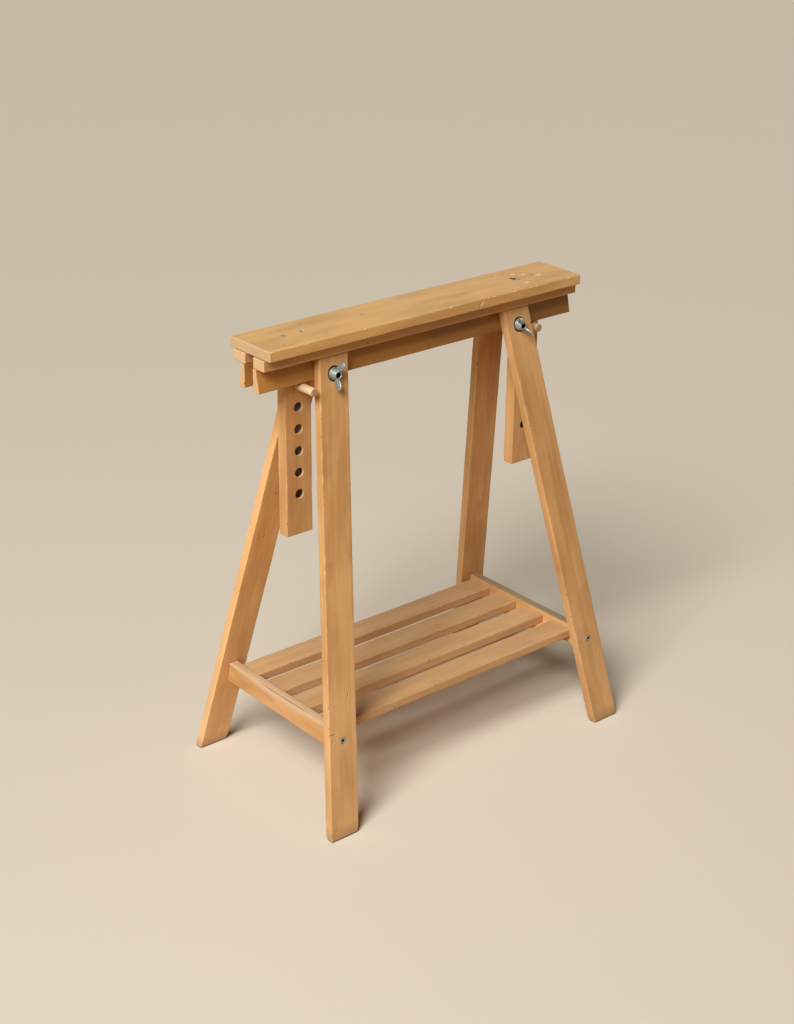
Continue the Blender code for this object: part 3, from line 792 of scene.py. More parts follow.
# %% Scars of the board
PITS = ((-0.1845, 0.0275), (-0.180, -0.0272), (-0.0896, 0.0089), (-0.2560, -0.0330))
PIT_SIZE = 0.0040
PIT_DEPTH = 0.0022
TORN = ((0.1924, 0.0136), (0.1927, -0.0068), (0.2056, -0.0055), (0.2051, 0.0093))
TORN_DEPTH = 0.0021
TORN_CUTS = ((TORN[0], TORN[1]), (TORN[1], TORN[2]), (TORN[0], TORN[3]))
TORN_WIDTH = 0.0036
FLAKES = ((0.2085, 0.0190, 0.008), (0.2206, 0.0088, 0.0065), (0.2380, -0.0060, 0.0075),
          (0.1956, -0.0245, 0.0075), (0.1873, 0.0323, 0.004))
FLAKE_DEPTH = 0.0007
EDGE_GOUGE = ((0.0915, -0.0020), (0.0855, -0.0110))
EDGE_GOUGE_WIDTH = 0.0055
EDGE_GOUGE_DEPTH = 0.0011
NICK_COUNT = 18
NICK_LENGTH = (0.003, 0.008)
NICK_DEPTH = (0.0005, 0.0013)
NICK_SLANT = (0.5, 1.5)
NICK_INSET = 0.0004


def board_scars(half, top):
    """A torn patch by a screw, pits, pale flakes, a gouge in the front edge and nicks in the top edges."""
    own = random.Random(7)
    scars = [hollow(TORN, top, TORN_DEPTH)]
    scars += [gouge((*start, top), (*end, top), Z, TORN_WIDTH, TORN_WIDTH) for start, end in TORN_CUTS]
    scars += [hollow(splinter(x, y, PIT_SIZE, own), top, PIT_DEPTH) for x, y in PITS]
    scars += [hollow(splinter(x, y, size, own), top, FLAKE_DEPTH) for x, y, size in FLAKES]
    start, end = (Vector((x, -half.y, top + drop)) for x, drop in EDGE_GOUGE)
    scars.append(gouge(start, end, -Y, EDGE_GOUGE_WIDTH, EDGE_GOUGE_DEPTH))
    for number in range(NICK_COUNT):
        edge = -1 if number % 4 else 1
        x = own.uniform(-half.x, half.x)
        length = own.uniform(*NICK_LENGTH)
        facing = Vector((0, edge, own.uniform(*NICK_SLANT))).normalized()
        spot = Vector((x, edge * half.y, top)) - facing * NICK_INSET
        depth = own.uniform(*NICK_DEPTH)
        scars.append(gouge(spot - X * length / 2, spot + X * length / 2, facing, length, depth))
    return scars


print("scars:", len(PITS), "pits,", len(FLAKES), "flakes,", NICK_COUNT, "nicks")

# %% Board and battens
# painted shade: the battens are made darker for the shade of the board above them
BATTEN_SHADE = 0.84
SCREW_SEAT = 0.0043
SCREW_SEAT_DEPTH = 0.0033
centre, half = plank_box("top_board")
plank = Plank(half, lies_along(centre, X, Y), 11)
top_board = worn_plank("top_board_worn", plank, WOODS["board_wood"])
seat_drills = []
for number in range(1, 5):
    spot = plank_box(f"board_screw_{number}")[0]
    place = Matrix.Translation((spot.x, spot.y, centre.z + half.z))
    seat_drills.append(turned(seat_outline(SCREW_SEAT, SCREW_SEAT_DEPTH), DRILL_STEPS, place))
mesh = drill(top_board, seat_drills + board_scars(half, centre.z + half.z))
mark_again(mesh, plank)
dress(top_board, "top", "board_wood", "top_board")

for seed, side in ((21, "front"), (22, "rear")):
    centre, half = plank_box(f"batten_{side}")
    plank = Plank(half, lies_along(centre, X, Y), seed, BATTEN_SHADE)
    batten = worn_plank(f"batten_{side}_worn", plank, WOODS["frame_wood"])
    dress(batten, "top", "frame_wood", f"batten_{side}")
print("board:", len(mesh.polygons), "faces")

# %% Posts
POST_TONE = 0.97
PEG_HOLE = 0.007
PEG_PITCH = 0.0327
FIRST_PEG_Z = 0.6337
PEG_COUNT = 6
RIM_CHAMFER = 0.0005
# the painted shade inside a peg hole starts from this ring of points
DARK_FROM = 0.0035                # a ring of points this deep lets a hole turn dark inside


def peg_drills(centre, half):
    """The drills for one post's row of holes, with a slightly broken rim on both faces."""
    mouth = PEG_HOLE + RIM_CHAMFER
    face = half.y
    outline = [(0, face + DRILL_START), (mouth + DRILL_START, face + DRILL_START), (mouth, face),
               (PEG_HOLE, face - RIM_CHAMFER), (PEG_HOLE, face - DARK_FROM), (PEG_HOLE, DARK_FROM - face),
               (PEG_HOLE, RIM_CHAMFER - face), (mouth, -face),
               (mouth + DRILL_START, -face - DRILL_START), (0, -face - DRILL_START)]
    places = [Matrix.Translation((centre.x, centre.y, FIRST_PEG_Z - number * PEG_PITCH)) @ FORWARD
              for number in range(PEG_COUNT)]
    return [turned(outline, DRILL_STEPS, place) for place in places]


for seed, side in ((31, "left"), (32, "right")):
    centre, half = plank_box(f"post_{side}")
    plank = Plank((half.z, half.x, half.y), lies_along(centre, Z, X), seed, POST_TONE)
    post = worn_plank(f"post_{side}_worn", plank, WOODS["frame_wood"])
    mesh = drill(post, peg_drills(centre, half))
    mark_again(mesh, plank)
    dress(post, "top", "frame_wood", f"post_{side}")
    print(f"post_{side}:", len(mesh.polygons), "faces")

# %% [markdown]
# ## Rails and legs
# The rails are wedges: upright inside, where the posts slide, and sloping outside, where the legs lie
# against them. Their colour holds painted shade from the board above: browner than the legs, lighter at
# the left end where light reaches under the board, and darker towards the right.
# A leg leans out two ways, and is cut level at its top and at the floor. Shearing a straight plank along
# its length gives exactly that shape, so the legs are worn planks too, drilled for a bolt and for a screw.
# The legs are paler towards the floor, some more than others.

# %% Rails
SLOPE = math.radians(12.0)
SPLAY = math.radians(7.9)
FACES = {"front": -1, "rear": 1}
SIDES = {"left": -1, "right": 1}


def wedge(half, outward):
    """Thin a rail towards its top on the outer side."""
    def shaped(points):
        thinned = points.copy()
        share = (points[:, 2] * outward + half.y) / (2 * half.y)
        room = 2 * half.y - (points[:, 1] + half.z) * math.tan(SLOPE)
        thinned[:, 2] = outward * (share * room - half.y)
        return thinned
    return shaped


# painted shade on the rails: lighter at the left end where light reaches under the board, darker towards the
# right
RAIL_TONE = 0.94
RAIL_SHADE_FADE = 0.22                  # how much lighter the left end of a rail is than its middle
for seed, (name, face) in zip((41, 42), FACES.items()):
    centre, half = plank_box(f"rail_{name}")
    plank = Plank((half.x, half.z, half.y), lies_along(centre, X, Z), seed)
    rail = worn_plank(f"rail_{name}_worn", plank, WOODS["shaded_rail_wood"], wedge(half, -face))
    store(rail.data, "tone", "FLOAT", RAIL_TONE - RAIL_SHADE_FADE * points_of(rail.data)[:, 0] / half.x)
    dress(rail, "frame", "frame_wood", f"rail_{name}")
print("rail thickness at its foot, in mm:", round(2000 * half.y, 1))

# %% Legs
LEG_TONES = {"leg_front_left": 1.0, "leg_front_right": 0.90, "leg_rear_left": 1.19, "leg_rear_right": 1.0}
SCREW_NUMBERS = {"leg_front_left": 1, "leg_rear_left": 2, "leg_front_right": 3, "leg_rear_right": 4}
LEG_WIDTH = 0.049
LEG_THICKNESS = 0.014
FOOT_ROUND = 0.0018
BOLT_BORE = 0.0043
COUNTERBORE = 0.0114
WASHER_GAP = 0.0003
LEG_SCREW_SEAT = 0.0053
LEG_SCREW_SEAT_DEPTH = 0.0038
LEG_SCARS = {
    "leg_front_left": ((-0.026, 0.015, -0.010, 0.0125), (-0.021, -0.002, -0.015, 0.006),
                       (0.017, 0.056, 0.021, 0.066)),
    "leg_front_right": ((0.015, -0.027, 0.020, -0.020), (0.018, -0.107, 0.020, -0.104)),
    "leg_rear_left": ((-0.006, -0.101, -0.003, -0.099),),
    "leg_rear_right": ((0.0, 0.130, 0.006, 0.139), (0.0, 0.136, 0.007, 0.132)),
}
# how much paler each leg is towards the floor
FOOT_PALENESS = {"leg_front_left": 0.18, "leg_front_right": 0.12, "leg_rear_left": 0.5, "leg_rear_right": 0.0}
PALENESS_TOP = 0.35
SCAR_WIDTH = 0.0024
SCAR_DEPTH = 0.0018


def leg_directions(side, face):
    """Unit vectors across a leg's width, out of its broad face, and down along it."""
    down_slope = Vector((0, face * math.sin(SLOPE), -math.cos(SLOPE)))
    across = X * side * math.cos(SPLAY) - down_slope * math.sin(SPLAY)
    outward = Vector((0, face * math.cos(SLOPE), math.sin(SLOPE)))
    along = down_slope * math.cos(SPLAY) + X * side * math.sin(SPLAY)
    return across, outward, along


def leg_drills(face, outward, bolt, screw):
    """The drills for a leg's bolt with its counterbore, and for the seat of its screw."""
    outer = DRILL_START * 3
    bore = [(0, outer), (COUNTERBORE, outer), (COUNTERBORE, 0), (BOLT_BORE, 0),
            (BOLT_BORE, -LEG_THICKNESS * 2), (0, -LEG_THICKNESS * 2)]
    bolt_place = Matrix.Translation(bolt) @ Matrix.Rotation(math.radians(-90.0 * face), 4, "X")
    seat = seat_outline(LEG_SCREW_SEAT, LEG_SCREW_SEAT_DEPTH)
    screw_place = Matrix.Translation(screw) @ outward.to_track_quat("Z", "Y").to_matrix().to_4x4()
    return [turned(bore, DRILL_STEPS, bolt_place), turned(seat, DRILL_STEPS, screw_place)]


def leg_scars(node, screw, face, outward):
    """Gouges on the face of a leg that the camera sees, set out across and up from the leg's screw."""
    upward = Vector((0, -face * math.tan(SLOPE), 1))
    start = screw if face < 0 else screw - outward * LEG_THICKNESS
    return [gouge(start + X * x0 + upward * z0, start + X * x1 + upward * z1, outward, SCAR_WIDTH, SCAR_DEPTH)
            for x0, z0, x1, z1 in LEG_SCARS[node]]


leg_screws = {}
bolt_z = plank_box("bolt_left")[0].z
counterbore_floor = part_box("washer_left")[1][1] + WASHER_GAP
for seed, (face_name, face) in zip((51, 55), FACES.items()):
    for side_name, side in SIDES.items():
        node = f"leg_{face_name}_{side_name}"
        centre, half = plank_box(node)
        across, outward, along = leg_directions(side, face)
        place = lies_along(centre, along, across)
        third = along.cross(across)
        slant = np.array((across.z, third.z)) / along.z
        plank = Plank((half.z / -along.z, LEG_WIDTH / 2, LEG_THICKNESS / 2), place, seed + (side > 0),
                      LEG_TONES[node], FOOT_ROUND)
        leg = worn_plank(f"{node}_worn", plank, WOODS["frame_wood"],
                         lambda points: points - np.outer(points[:, 1:] @ slant, (1, 0, 0)))
        bolt = Vector((plank_box(f"bolt_{side_name}")[0].x, -face * counterbore_floor, bolt_z))
        screw_node = f"leg_screw_{SCREW_NUMBERS[node]}"
        screw_middle = plank_box(screw_node)[0]
        outer_face = centre + outward * LEG_THICKNESS / 2
        screw = screw_middle + outward * (outer_face - screw_middle).dot(outward)
        leg_screws[screw_node] = (screw, outward)
        cutters = leg_drills(face, outward, bolt, screw) + leg_scars(node, screw, face, outward)
        mesh = drill(leg, cutters)
        paled = FOOT_PALENESS[node] * np.clip(1.0 - points_of(mesh)[:, 2] / PALENESS_TOP, 0.0, 1.0)
        mark_again(mesh, plank, slant, paled)
        dress(leg, "frame", "frame_wood", node)
        print(node, len(mesh.polygons), "faces")

# %% [markdown]
# ## The shelf
# Cross bars join each pair of legs, and carry ledgers that hold the four slats of the shelf.
# A bar's ends are cut to the slope of the legs and its upper outer edge is rounded over. Feet that rested
# on the left bar have rubbed it rounder and paler towards its middle and split its top, and the right bar's
# top is dirty. The slats repeat, so they are made by Geometry Nodes: a box of grid points, crowded towards
# its edges, is set out in a row and made real, and noise wears each slat's edges round in its own way.
# The tree's inputs name the slats' sizes.

# %% Bars and ledgers
BAR_ROUND = 0.002
BAR_WEAR = {"left": 0.0075, "right": 0.0}
BAR_SOIL = {"left": 0.0, "right": 0.95}
SPLIT_ACROSS = 0.0036
SPLIT_ALONG = (0.068, -0.088)
SPLIT_DROP = (0.0012, 0.0002)
SPLIT_WIDTH = 0.0024
SPLIT_DEPTH = 0.004
RUB_FADE = 0.0015
SOIL_DEPTH = 0.002


def bar_radius(points, half, wear):
    """How round a bar's upper outer edge is: feet have worn it most a little before its middle."""
    to_front = np.clip(0.5 - points[:, 0] / (2 * half.y), 0.0, 1.0)
    return BAR_ROUND + wear * np.sin(math.pi * to_front ** 0.9)


def bar_ends(half, side, wear):
    """Cut a bar's ends to the slope of the legs and round its upper outer edge."""
    def shaped(points):
        cut = points.copy()
        height = -points[:, 2] + half.z
        cut[:, 0] *= (half.y - height * math.tan(SLOPE)) / half.y
        radius = bar_radius(points, half, wear)
        corner_y, corner_z = half.x - radius, radius - half.z
        out, up = cut[:, 1] * side - corner_y, corner_z - cut[:, 2]
        reach = np.hypot(out, up)
        pull = np.where((out > 0) & (up > 0) & (reach > radius), radius / np.maximum(reach, GRID_SLACK), 1.0)
        cut[:, 1] = side * (corner_y + out * pull)
        cut[:, 2] = corner_z - up * pull
        return cut
    return shaped


def split_bar(bar, centre, half, side):
    """Cut a long thin split into the top of a bar."""
    ends = [Vector((centre.x + side * SPLIT_ACROSS, y, centre.z + half.z - drop))
            for y, drop in zip(SPLIT_ALONG, SPLIT_DROP)]
    return drill(bar, [gouge(*ends, Z, SPLIT_WIDTH, SPLIT_DEPTH)])


def mark_bar(mesh, plank, half, side, wear, soil):
    """Mark a bar again, with the wear that feet have left on its top, the dirt and the painted shade in the
    split.
    """
    local = placed(plank.place.inverted(), points_of(mesh))
    mark_wood(mesh, local, *plank_edges(local, np.array(plank.half)), plank.seed, plank.tone)
    below = local[:, 2] + half.z
    radius = bar_radius(local, half, wear)
    rubbed = np.clip((radius - below) / RUB_FADE + 0.5, 0.0, 1.0)
    from_corner = np.clip(radius - half.x + side * local[:, 1], 0.0, radius)
    depth = below - radius + np.sqrt(radius ** 2 - from_corner ** 2)
    near_split = np.abs(local[:, 1] - side * SPLIT_ACROSS) < SPLIT_WIDTH
    in_split = near_split & (below < 2 * SPLIT_DEPTH) & (wear > 0)
    # painted shade inside the split
    store(mesh, "bore", "FLOAT", in_split * np.clip((depth - BORE_START) / BORE_REACH, 0.0, 1.0))
    store(mesh, "rubbed", "FLOAT", rubbed * (wear > 0))
    store(mesh, "soiled", "FLOAT", soil * np.clip(1.0 - below / SOIL_DEPTH, 0.0, 1.0))


for seed, (name, side) in zip((61, 62), SIDES.items()):
    centre, half = plank_box(f"cross_bar_{name}")
    plank = Plank((half.y, half.x, half.z), lies_along(centre, Y, X), seed)
    wear = BAR_WEAR[name]
    bar = worn_plank(f"cross_bar_{name}_worn", plank, WOODS["frame_wood"], bar_ends(half, side, wear))
    mesh = split_bar(bar, centre, half, side) if wear else bar.data
    mark_bar(mesh, plank, half, side, wear, BAR_SOIL[name])
    dress(bar, "frame", "frame_wood", f"cross_bar_{name}")
    centre, half = plank_box(f"ledger_{name}")
    plank = Plank((half.y, half.x, half.z), lies_along(centre, Y, X), seed + 2)
    ledger = worn_plank(f"ledger_{name}_worn", plank, WOODS["frame_wood"])
    dress(ledger, "frame", "frame_wood", f"ledger_{name}")
print("left bar worn by up to, in mm:", 1000 * BAR_WEAR["left"])

# %% Helpers for geometry trees
def stored(tree, name, kind):
    """A field that reads a named attribute."""
    node = add_node(tree, "GeometryNodeInputNamedAttribute", {"Name": name}, data_type=kind)
    return node.outputs["Attribute"]


def keep(tree, geometry, name, kind, value, domain="POINT"):
    """Store a field on the geometry under a name."""
    inputs = {"Geometry": geometry, "Name": name, "Value": value}
    node = add_node(tree, "GeometryNodeStoreNamedAttribute", inputs, data_type=kind, domain=domain)
    return node.outputs[0]


def moved(tree, geometry, way, field):
    """A geometry whose points are set at a Position or moved by an Offset."""
    return add_node(tree, "GeometryNodeSetPosition", {"Geometry": geometry, way: field}).outputs[0]


def lengthened(tree, vector, factor):
    """A vector times one factor."""
    return add_node(tree, "ShaderNodeVectorMath", {0: vector, "Scale": factor}, operation="SCALE").outputs[0]


def nearness(tree, distance, reach):
    """One at no distance, and nothing from a given reach on."""
    return calculate(tree, "SUBTRACT", 1.0, calculate(tree, "DIVIDE", distance, reach), True)


def middle_of_three(tree, vector):
    """The middle one of a vector's three values."""
    a, b, c = add_node(tree, "ShaderNodeSeparateXYZ", {0: vector}).outputs
    low = calculate(tree, "MINIMUM", a, b)
    high = calculate(tree, "MAXIMUM", a, b)
    return calculate(tree, "MAXIMUM", low, calculate(tree, "MINIMUM", high, c))


print("helpers for geometry trees ready")

# %% Slat tree
SLAT_GRID = (120, 18, 8)
SLAT_TONES = (0.94, 1.03)
SLAT_WANDER = (0.5, 1.7)          # the least and the most that an edge's round is multiplied by


def make_slat_tree():
    """A row of slats, each a box whose edges are worn round in its own way."""
    tree, entry, leave = new_group("slat_row", "GeometryNodeTree", {
        "Half Size": "NodeSocketVector", "First Slat": "NodeSocketVector", "Step": "NodeSocketVector",
        "Count": "NodeSocketInt", "Edge Round": "NodeSocketFloat", "Seed": "NodeSocketInt",
        "Material": "NodeSocketMaterial"}, {"Geometry": "NodeSocketGeometry"})
    half = entry["Half Size"]
    cube = add_node(tree, "GeometryNodeMeshCube", {"Size": (2.0, 2.0, 2.0), "Vertices X": SLAT_GRID[0],
                                                   "Vertices Y": SLAT_GRID[1], "Vertices Z": SLAT_GRID[2]})
    here = add_node(tree, "GeometryNodeInputPosition").outputs[0]
    quarter_turn = vectors(tree, "MULTIPLY", here, (math.pi / 2,) * 3)
    crowded = vectors(tree, "MULTIPLY", vectors(tree, "SINE", quarter_turn), half)
    slat = moved(tree, cube.outputs[0], "Position", crowded)
    slat = keep(tree, slat, "grain", "FLOAT_VECTOR", here)

    row = add_node(tree, "GeometryNodeMeshLine", {
        "Count": entry["Count"], "Start Location": entry["First Slat"],
        "Offset": entry["Step"]}, mode="OFFSET").outputs[0]
    slats = add_node(tree, "GeometryNodeInstanceOnPoints", {"Points": row, "Instance": slat}).outputs[0]
    own = add_node(tree, "FunctionNodeRandomValue", {"Seed": entry["Seed"]}, data_type="FLOAT").outputs[1]
    slats = keep(tree, slats, "board", "FLOAT", own, "INSTANCE")
    slats = keep(tree, slats, "tone", "FLOAT", remapped(tree, own, 0.0, 1.0, *SLAT_TONES), "INSTANCE")
    slats = add_node(tree, "GeometryNodeRealizeInstances", {"Geometry": slats}).outputs[0]

    place = stored(tree, "grain", "FLOAT_VECTOR")
    shift = lengthened(tree, (50.0, 30.0, 40.0), stored(tree, "board", "FLOAT"))
    spot = vectors(tree, "ADD", vectors(tree, "MULTIPLY", place, (1 / WANDER_PITCH,) * 3), shift)
    wander = remapped(tree, noise_at(tree, spot, 1.0), 0.2, 0.8, *SLAT_WANDER)
    radius = calculate(tree, "MULTIPLY", entry["Edge Round"], wander)
    limit = vectors(tree, "SUBTRACT", half, radius)
    lower_limit = vectors(tree, "MULTIPLY", limit, (-1,) * 3)
    core = vectors(tree, "MAXIMUM", vectors(tree, "MINIMUM", place, limit), lower_limit)
    outward = vectors(tree, "NORMALIZE", vectors(tree, "SUBTRACT", place, core))
    rounded = vectors(tree, "ADD", core, lengthened(tree, outward, radius))
    slats = moved(tree, slats, "Offset", vectors(tree, "SUBTRACT", rounded, place))

    depth = vectors(tree, "SUBTRACT", half, vectors(tree, "ABSOLUTE", place))
    to_end = add_node(tree, "ShaderNodeSeparateXYZ", {0: depth}).outputs[0]
    slats = keep(tree, slats, "edge", "FLOAT", nearness(tree, middle_of_three(tree, depth), EDGE_REACH))
    slats = keep(tree, slats, "end", "FLOAT", nearness(tree, to_end, END_REACH))
    slats = add_node(tree, "GeometryNodeSetShadeSmooth", {"Geometry": slats}).outputs[0]
    finished = add_node(tree, "GeometryNodeSetMaterial", {"Geometry": slats, "Material": entry["Material"]})
    tree.links.new(finished.outputs[0], leave["Geometry"])
    return tree


slat_tree = make_slat_tree()
print("tree:", slat_tree.name, "with", len(slat_tree.nodes), "nodes")

# %% Slats
def grow(name, tree, settings, mesh=None):
    """Run a Geometry Nodes tree on a new object and keep the result as a plain mesh."""
    piece = bpy.data.objects.new(name, mesh or bpy.data.meshes.new(name))
    scene.collection.objects.link(piece)
    modifier = piece.modifiers.new(tree.name, "NODES")
    modifier.node_group = tree
    for socket in tree.interface.items_tree:
        if socket.in_out == "INPUT" and socket.name in settings:
            modifier[socket.identifier] = settings[socket.name]
    settle(piece)
    return piece


SLAT_COUNT = 4
first, half = plank_box("slat_1")
last = plank_box(f"slat_{SLAT_COUNT}")[0]
slats = grow("shelf_slats", slat_tree, {
    "Half Size": half, "First Slat": first, "Step": (last - first) / (SLAT_COUNT - 1), "Count": SLAT_COUNT,
    "Edge Round": EDGE_ROUND, "Seed": 5, "Material": WOODS["slat_wood"]})
dress(slats, "frame", "slat_wood", *[f"slat_{number}" for number in range(1, SLAT_COUNT + 1)])
print("slats:", len(slats.data.polygons), "faces")

# %% [markdown]
# ## Pins
# Two loose dowels hold the top at its height. A dowel is turned: the outline of half of it is spun about
# its axis. Its ends are rounded over, and rings of points along its length carry the marks of the grain.

# %% Pins
PIN_STEPS = 48
PIN_RINGS = 12
PIN_END_ROUND = 0.001
ROUND_POINTS = 5
# painted shade: the right pin is made darker for the shadow of the front right leg
PIN_SHADE = {"left": 1.0, "right": 0.76}


def pin_outline(radius, half_length):
    """Half the outline of a dowel with rounded ends, from its top to its foot."""
    corner = []
    for number in range(ROUND_POINTS):
        angle = math.radians(90.0) * number / (ROUND_POINTS - 1)
        corner.append((radius - PIN_END_ROUND * (1 - math.sin(angle)),
                       half_length - PIN_END_ROUND * (1 - math.cos(angle))))
    straight = half_length - PIN_END_ROUND
    sides = [(radius, straight * (1 - 2 * number / PIN_RINGS)) for number in range(1, PIN_RINGS)]
    foot = [(r, -height) for r, height in reversed(corner)]
    return [(0, half_length)] + corner + sides + foot + [(0, -half_length)]


for seed, side in ((71, "left"), (72, "right")):
    centre, half = plank_box(f"pin_{side}")
    place = Matrix.Translation(centre) @ FORWARD
    mesh = turned(pin_outline(half.x, half.y), PIN_STEPS, place)
    local = placed(place.inverted(), points_of(mesh))[:, [2, 0, 1]]
    to_end = half.y - np.abs(local[:, 0])
    to_edge = to_end + half.x - np.hypot(local[:, 1], local[:, 2])
    mark_wood(mesh, local, to_edge, to_end, seed, PIN_SHADE[side])
    pin = new_piece(f"pin_{side}_dowel", mesh, WOODS["pin_wood"])
    dress(pin, f"pin_{side}", "pin_wood", f"pin_{side}")
print("pin:", len(mesh.polygons), "faces")

# %% [markdown]
# ## Zinc
# The fittings are zinc-plated steel: grey, satin, and a little blotchy where the plating has gone dull.
# Noise dulls the zinc as it stains the wood, but it is read from Object coordinates, because metal has no
# grain to follow. Screw sockets, bolt ends, washers and the bores and feet of the wing nuts are painted
# dark as shade.

# %% Zinc finish
# painted shade for sockets, bolt ends, washers and the bores and feet of wing nuts
HOLLOW_SHADE = paint(30, 40, 40)


def make_zinc(name, bright, dull, roughness):
    """Plated steel with dull patches and a fine grain, painted dark as shade where the mesh marks a hollow.
    """
    material = bpy.data.materials.new(name)
    material.use_nodes = True
    tree = material.node_tree
    shader = tree.nodes["Principled BSDF"]
    place = add_node(tree, "ShaderNodeTexCoord").outputs["Object"]
    patches = noise_at(tree, place, 260.0, 4.0, 0.6)
    fine = noise_at(tree, place, 1800.0, 2.0, 0.6)
    tarnish = remapped(tree, patches, 0.38, 0.68)
    colour = mixed(tree, attribute(tree, "bore", "Fac"), mixed(tree, tarnish, bright, dull), HOLLOW_SHADE)
    tree.links.new(colour, shader.inputs["Base Color"])
    satin = remapped(tree, patches, 0.3, 0.7, roughness - 0.08, roughness + 0.14)
    tree.links.new(satin, shader.inputs["Roughness"])
    shader.inputs["Metallic"].default_value = 0.6
    relief = calculate(tree, "ADD", calculate(tree, "MULTIPLY", fine, 0.4), patches)
    bump = add_node(tree, "ShaderNodeBump", {"Strength": 0.25, "Distance": 0.0002, "Height": relief})
    tree.links.new(bump.outputs[0], shader.inputs["Normal"])
    return material


zinc = make_zinc("zinc_steel", paint(168, 174, 171), paint(128, 135, 131), 0.44)
print("finish:", zinc.name)

# %% [markdown]
# ## Screws
# Three kinds of screw hold the trestle together. One of each kind is turned and given a six-sided socket,
# and a small Geometry Nodes tree sets a copy on every point of a mesh, facing the way that point says.
# The random turn of each copy has a fixed seed, so that the picture is the same every time.

# %% Screw tree
def make_screw_tree():
    """Set a screw on each point, with its head out along the point's "facing" direction."""
    tree, entry, leave = new_group("set_screws", "GeometryNodeTree", {
        "Points": "NodeSocketGeometry", "Screw": "NodeSocketObject", "Sink": "NodeSocketFloat",
        "Seed": "NodeSocketInt", "Material": "NodeSocketMaterial"}, {"Geometry": "NodeSocketGeometry"})
    facing = stored(tree, "facing", "FLOAT_VECTOR")
    inward = lengthened(tree, facing, calculate(tree, "MULTIPLY", entry["Sink"], -1.0))
    seats = moved(tree, entry["Points"], "Offset", inward)
    aimed = add_node(tree, "FunctionNodeAlignRotationToVector", {"Vector": facing}, axis="Z").outputs[0]
    turn = add_node(tree, "FunctionNodeRandomValue", {2: 0.0, 3: math.tau, "Seed": entry["Seed"]},
                    data_type="FLOAT").outputs[1]
    spin = add_node(tree, "ShaderNodeCombineXYZ", {2: turn}).outputs[0]
    aimed = add_node(tree, "FunctionNodeRotateRotation", {"Rotation": aimed, "Rotate By": spin},
                     rotation_space="LOCAL").outputs[0]
    screw = add_node(tree, "GeometryNodeObjectInfo", {"Object": entry["Screw"]}).outputs["Geometry"]
    screws = add_node(tree, "GeometryNodeInstanceOnPoints", {
        "Points": seats, "Instance": screw, "Rotation": aimed}).outputs[0]
    real = add_node(tree, "GeometryNodeRealizeInstances", {"Geometry": screws}).outputs[0]
    finished = add_node(tree, "GeometryNodeSetMaterial", {"Geometry": real, "Material": entry["Material"]})
    tree.links.new(finished.outputs[0], leave["Geometry"])
    return tree


screw_tree = make_screw_tree()
print("tree:", screw_tree.name, "with", len(screw_tree.nodes), "nodes")

# %% Screw shape
SCREW_STEPS = 40
SOCKET_SIDES = 6
SOCKET_SHARE = 0.6                # a socket's depth as a share of the head's height
HEAD_CHAMFER = 0.0005
Screw = namedtuple("Screw", "head height shank length socket soot")


def screw_shape(size):
    """One screw, head up at the origin, with a chamfered head, a coned tip and a six-sided socket."""
    head, shank, socket = size.head / 2, size.shank / 2, size.socket / 2
    outline = [(0, 0), (head - HEAD_CHAMFER, 0), (head, -HEAD_CHAMFER), (head, -size.height),
               (shank, -size.height), (shank, 2 * shank - size.length), (0, -size.length)]
    screw = new_piece("screw", turned(outline, SCREW_STEPS, Matrix.Identity(4)), zinc)
    depth = SOCKET_SHARE * size.height
    hexagon = [(0, HEAD_CHAMFER), (socket + 2 * HEAD_CHAMFER, HEAD_CHAMFER), (socket, -HEAD_CHAMFER),
               (socket, -depth), (0, -depth - socket / 3)]
    mesh = drill(screw, [turned(hexagon, SOCKET_SIDES, Matrix.Identity(4))])
    points = points_of(mesh)
    from_axis = np.hypot(points[:, 0], points[:, 1])
    in_socket = (from_axis < socket + GRID_SLACK) & (points[:, 2] > -size.height)
    # painted shade inside the socket
    store(mesh, "bore", "FLOAT", size.soot * in_socket)
    return screw


print("a screw has:", ", ".join(Screw._fields))

# %% Screws
SCREW_SINK = 0.0003
# soot says how dark a socket is painted as shade
BOARD_SCREW = Screw(head=0.008, height=0.003, shank=0.004, length=0.040, socket=0.004, soot=0.25)
LEG_SCREW = Screw(head=0.010, height=0.0035, shank=0.005, length=0.046, socket=0.005, soot=1.0)
SLAT_SCREW = Screw(head=0.007, height=0.0025, shank=0.0035, length=0.019, socket=0.0035, soot=1.0)


def set_screws(name, body, nodes, seats, size, seed):
    """Set a kind of screw on its seats, each a place and the way its head faces."""
    points = bpy.data.meshes.new(name)
    points.from_pydata([place for place, facing in seats], [], [])
    store(points, "facing", "FLOAT_VECTOR", np.array([facing for place, facing in seats]))
    screw = screw_shape(size)
    settings = {"Screw": screw, "Sink": SCREW_SINK, "Seed": seed, "Material": zinc}
    piece = grow(name, screw_tree, settings, points)
    bpy.data.objects.remove(screw)
    dress(piece, body, "zinc_steel", *nodes)


board_nodes = [f"board_screw_{number}" for number in range(1, 5)]
board_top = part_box("top_board")[1][2]
board_seats = [(Vector((*plank_box(node)[0].xy, board_top)), Z) for node in board_nodes]
set_screws("board_screws", "top", board_nodes, board_seats, BOARD_SCREW, 3)
set_screws("leg_screws", "frame", list(leg_screws), list(leg_screws.values()), LEG_SCREW, 4)
slat_nodes = [f"slat_screw_{number}" for number in range(1, 9)]
ledger_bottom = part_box("ledger_left")[0][2]
slat_seats = [(Vector((*plank_box(node)[0].xy, ledger_bottom)), -Z) for node in slat_nodes]
set_screws("slat_screws", "frame", slat_nodes, slat_seats, SLAT_SCREW, 5)
print("screw heads:", len(board_nodes) + len(leg_screws) + len(slat_nodes))

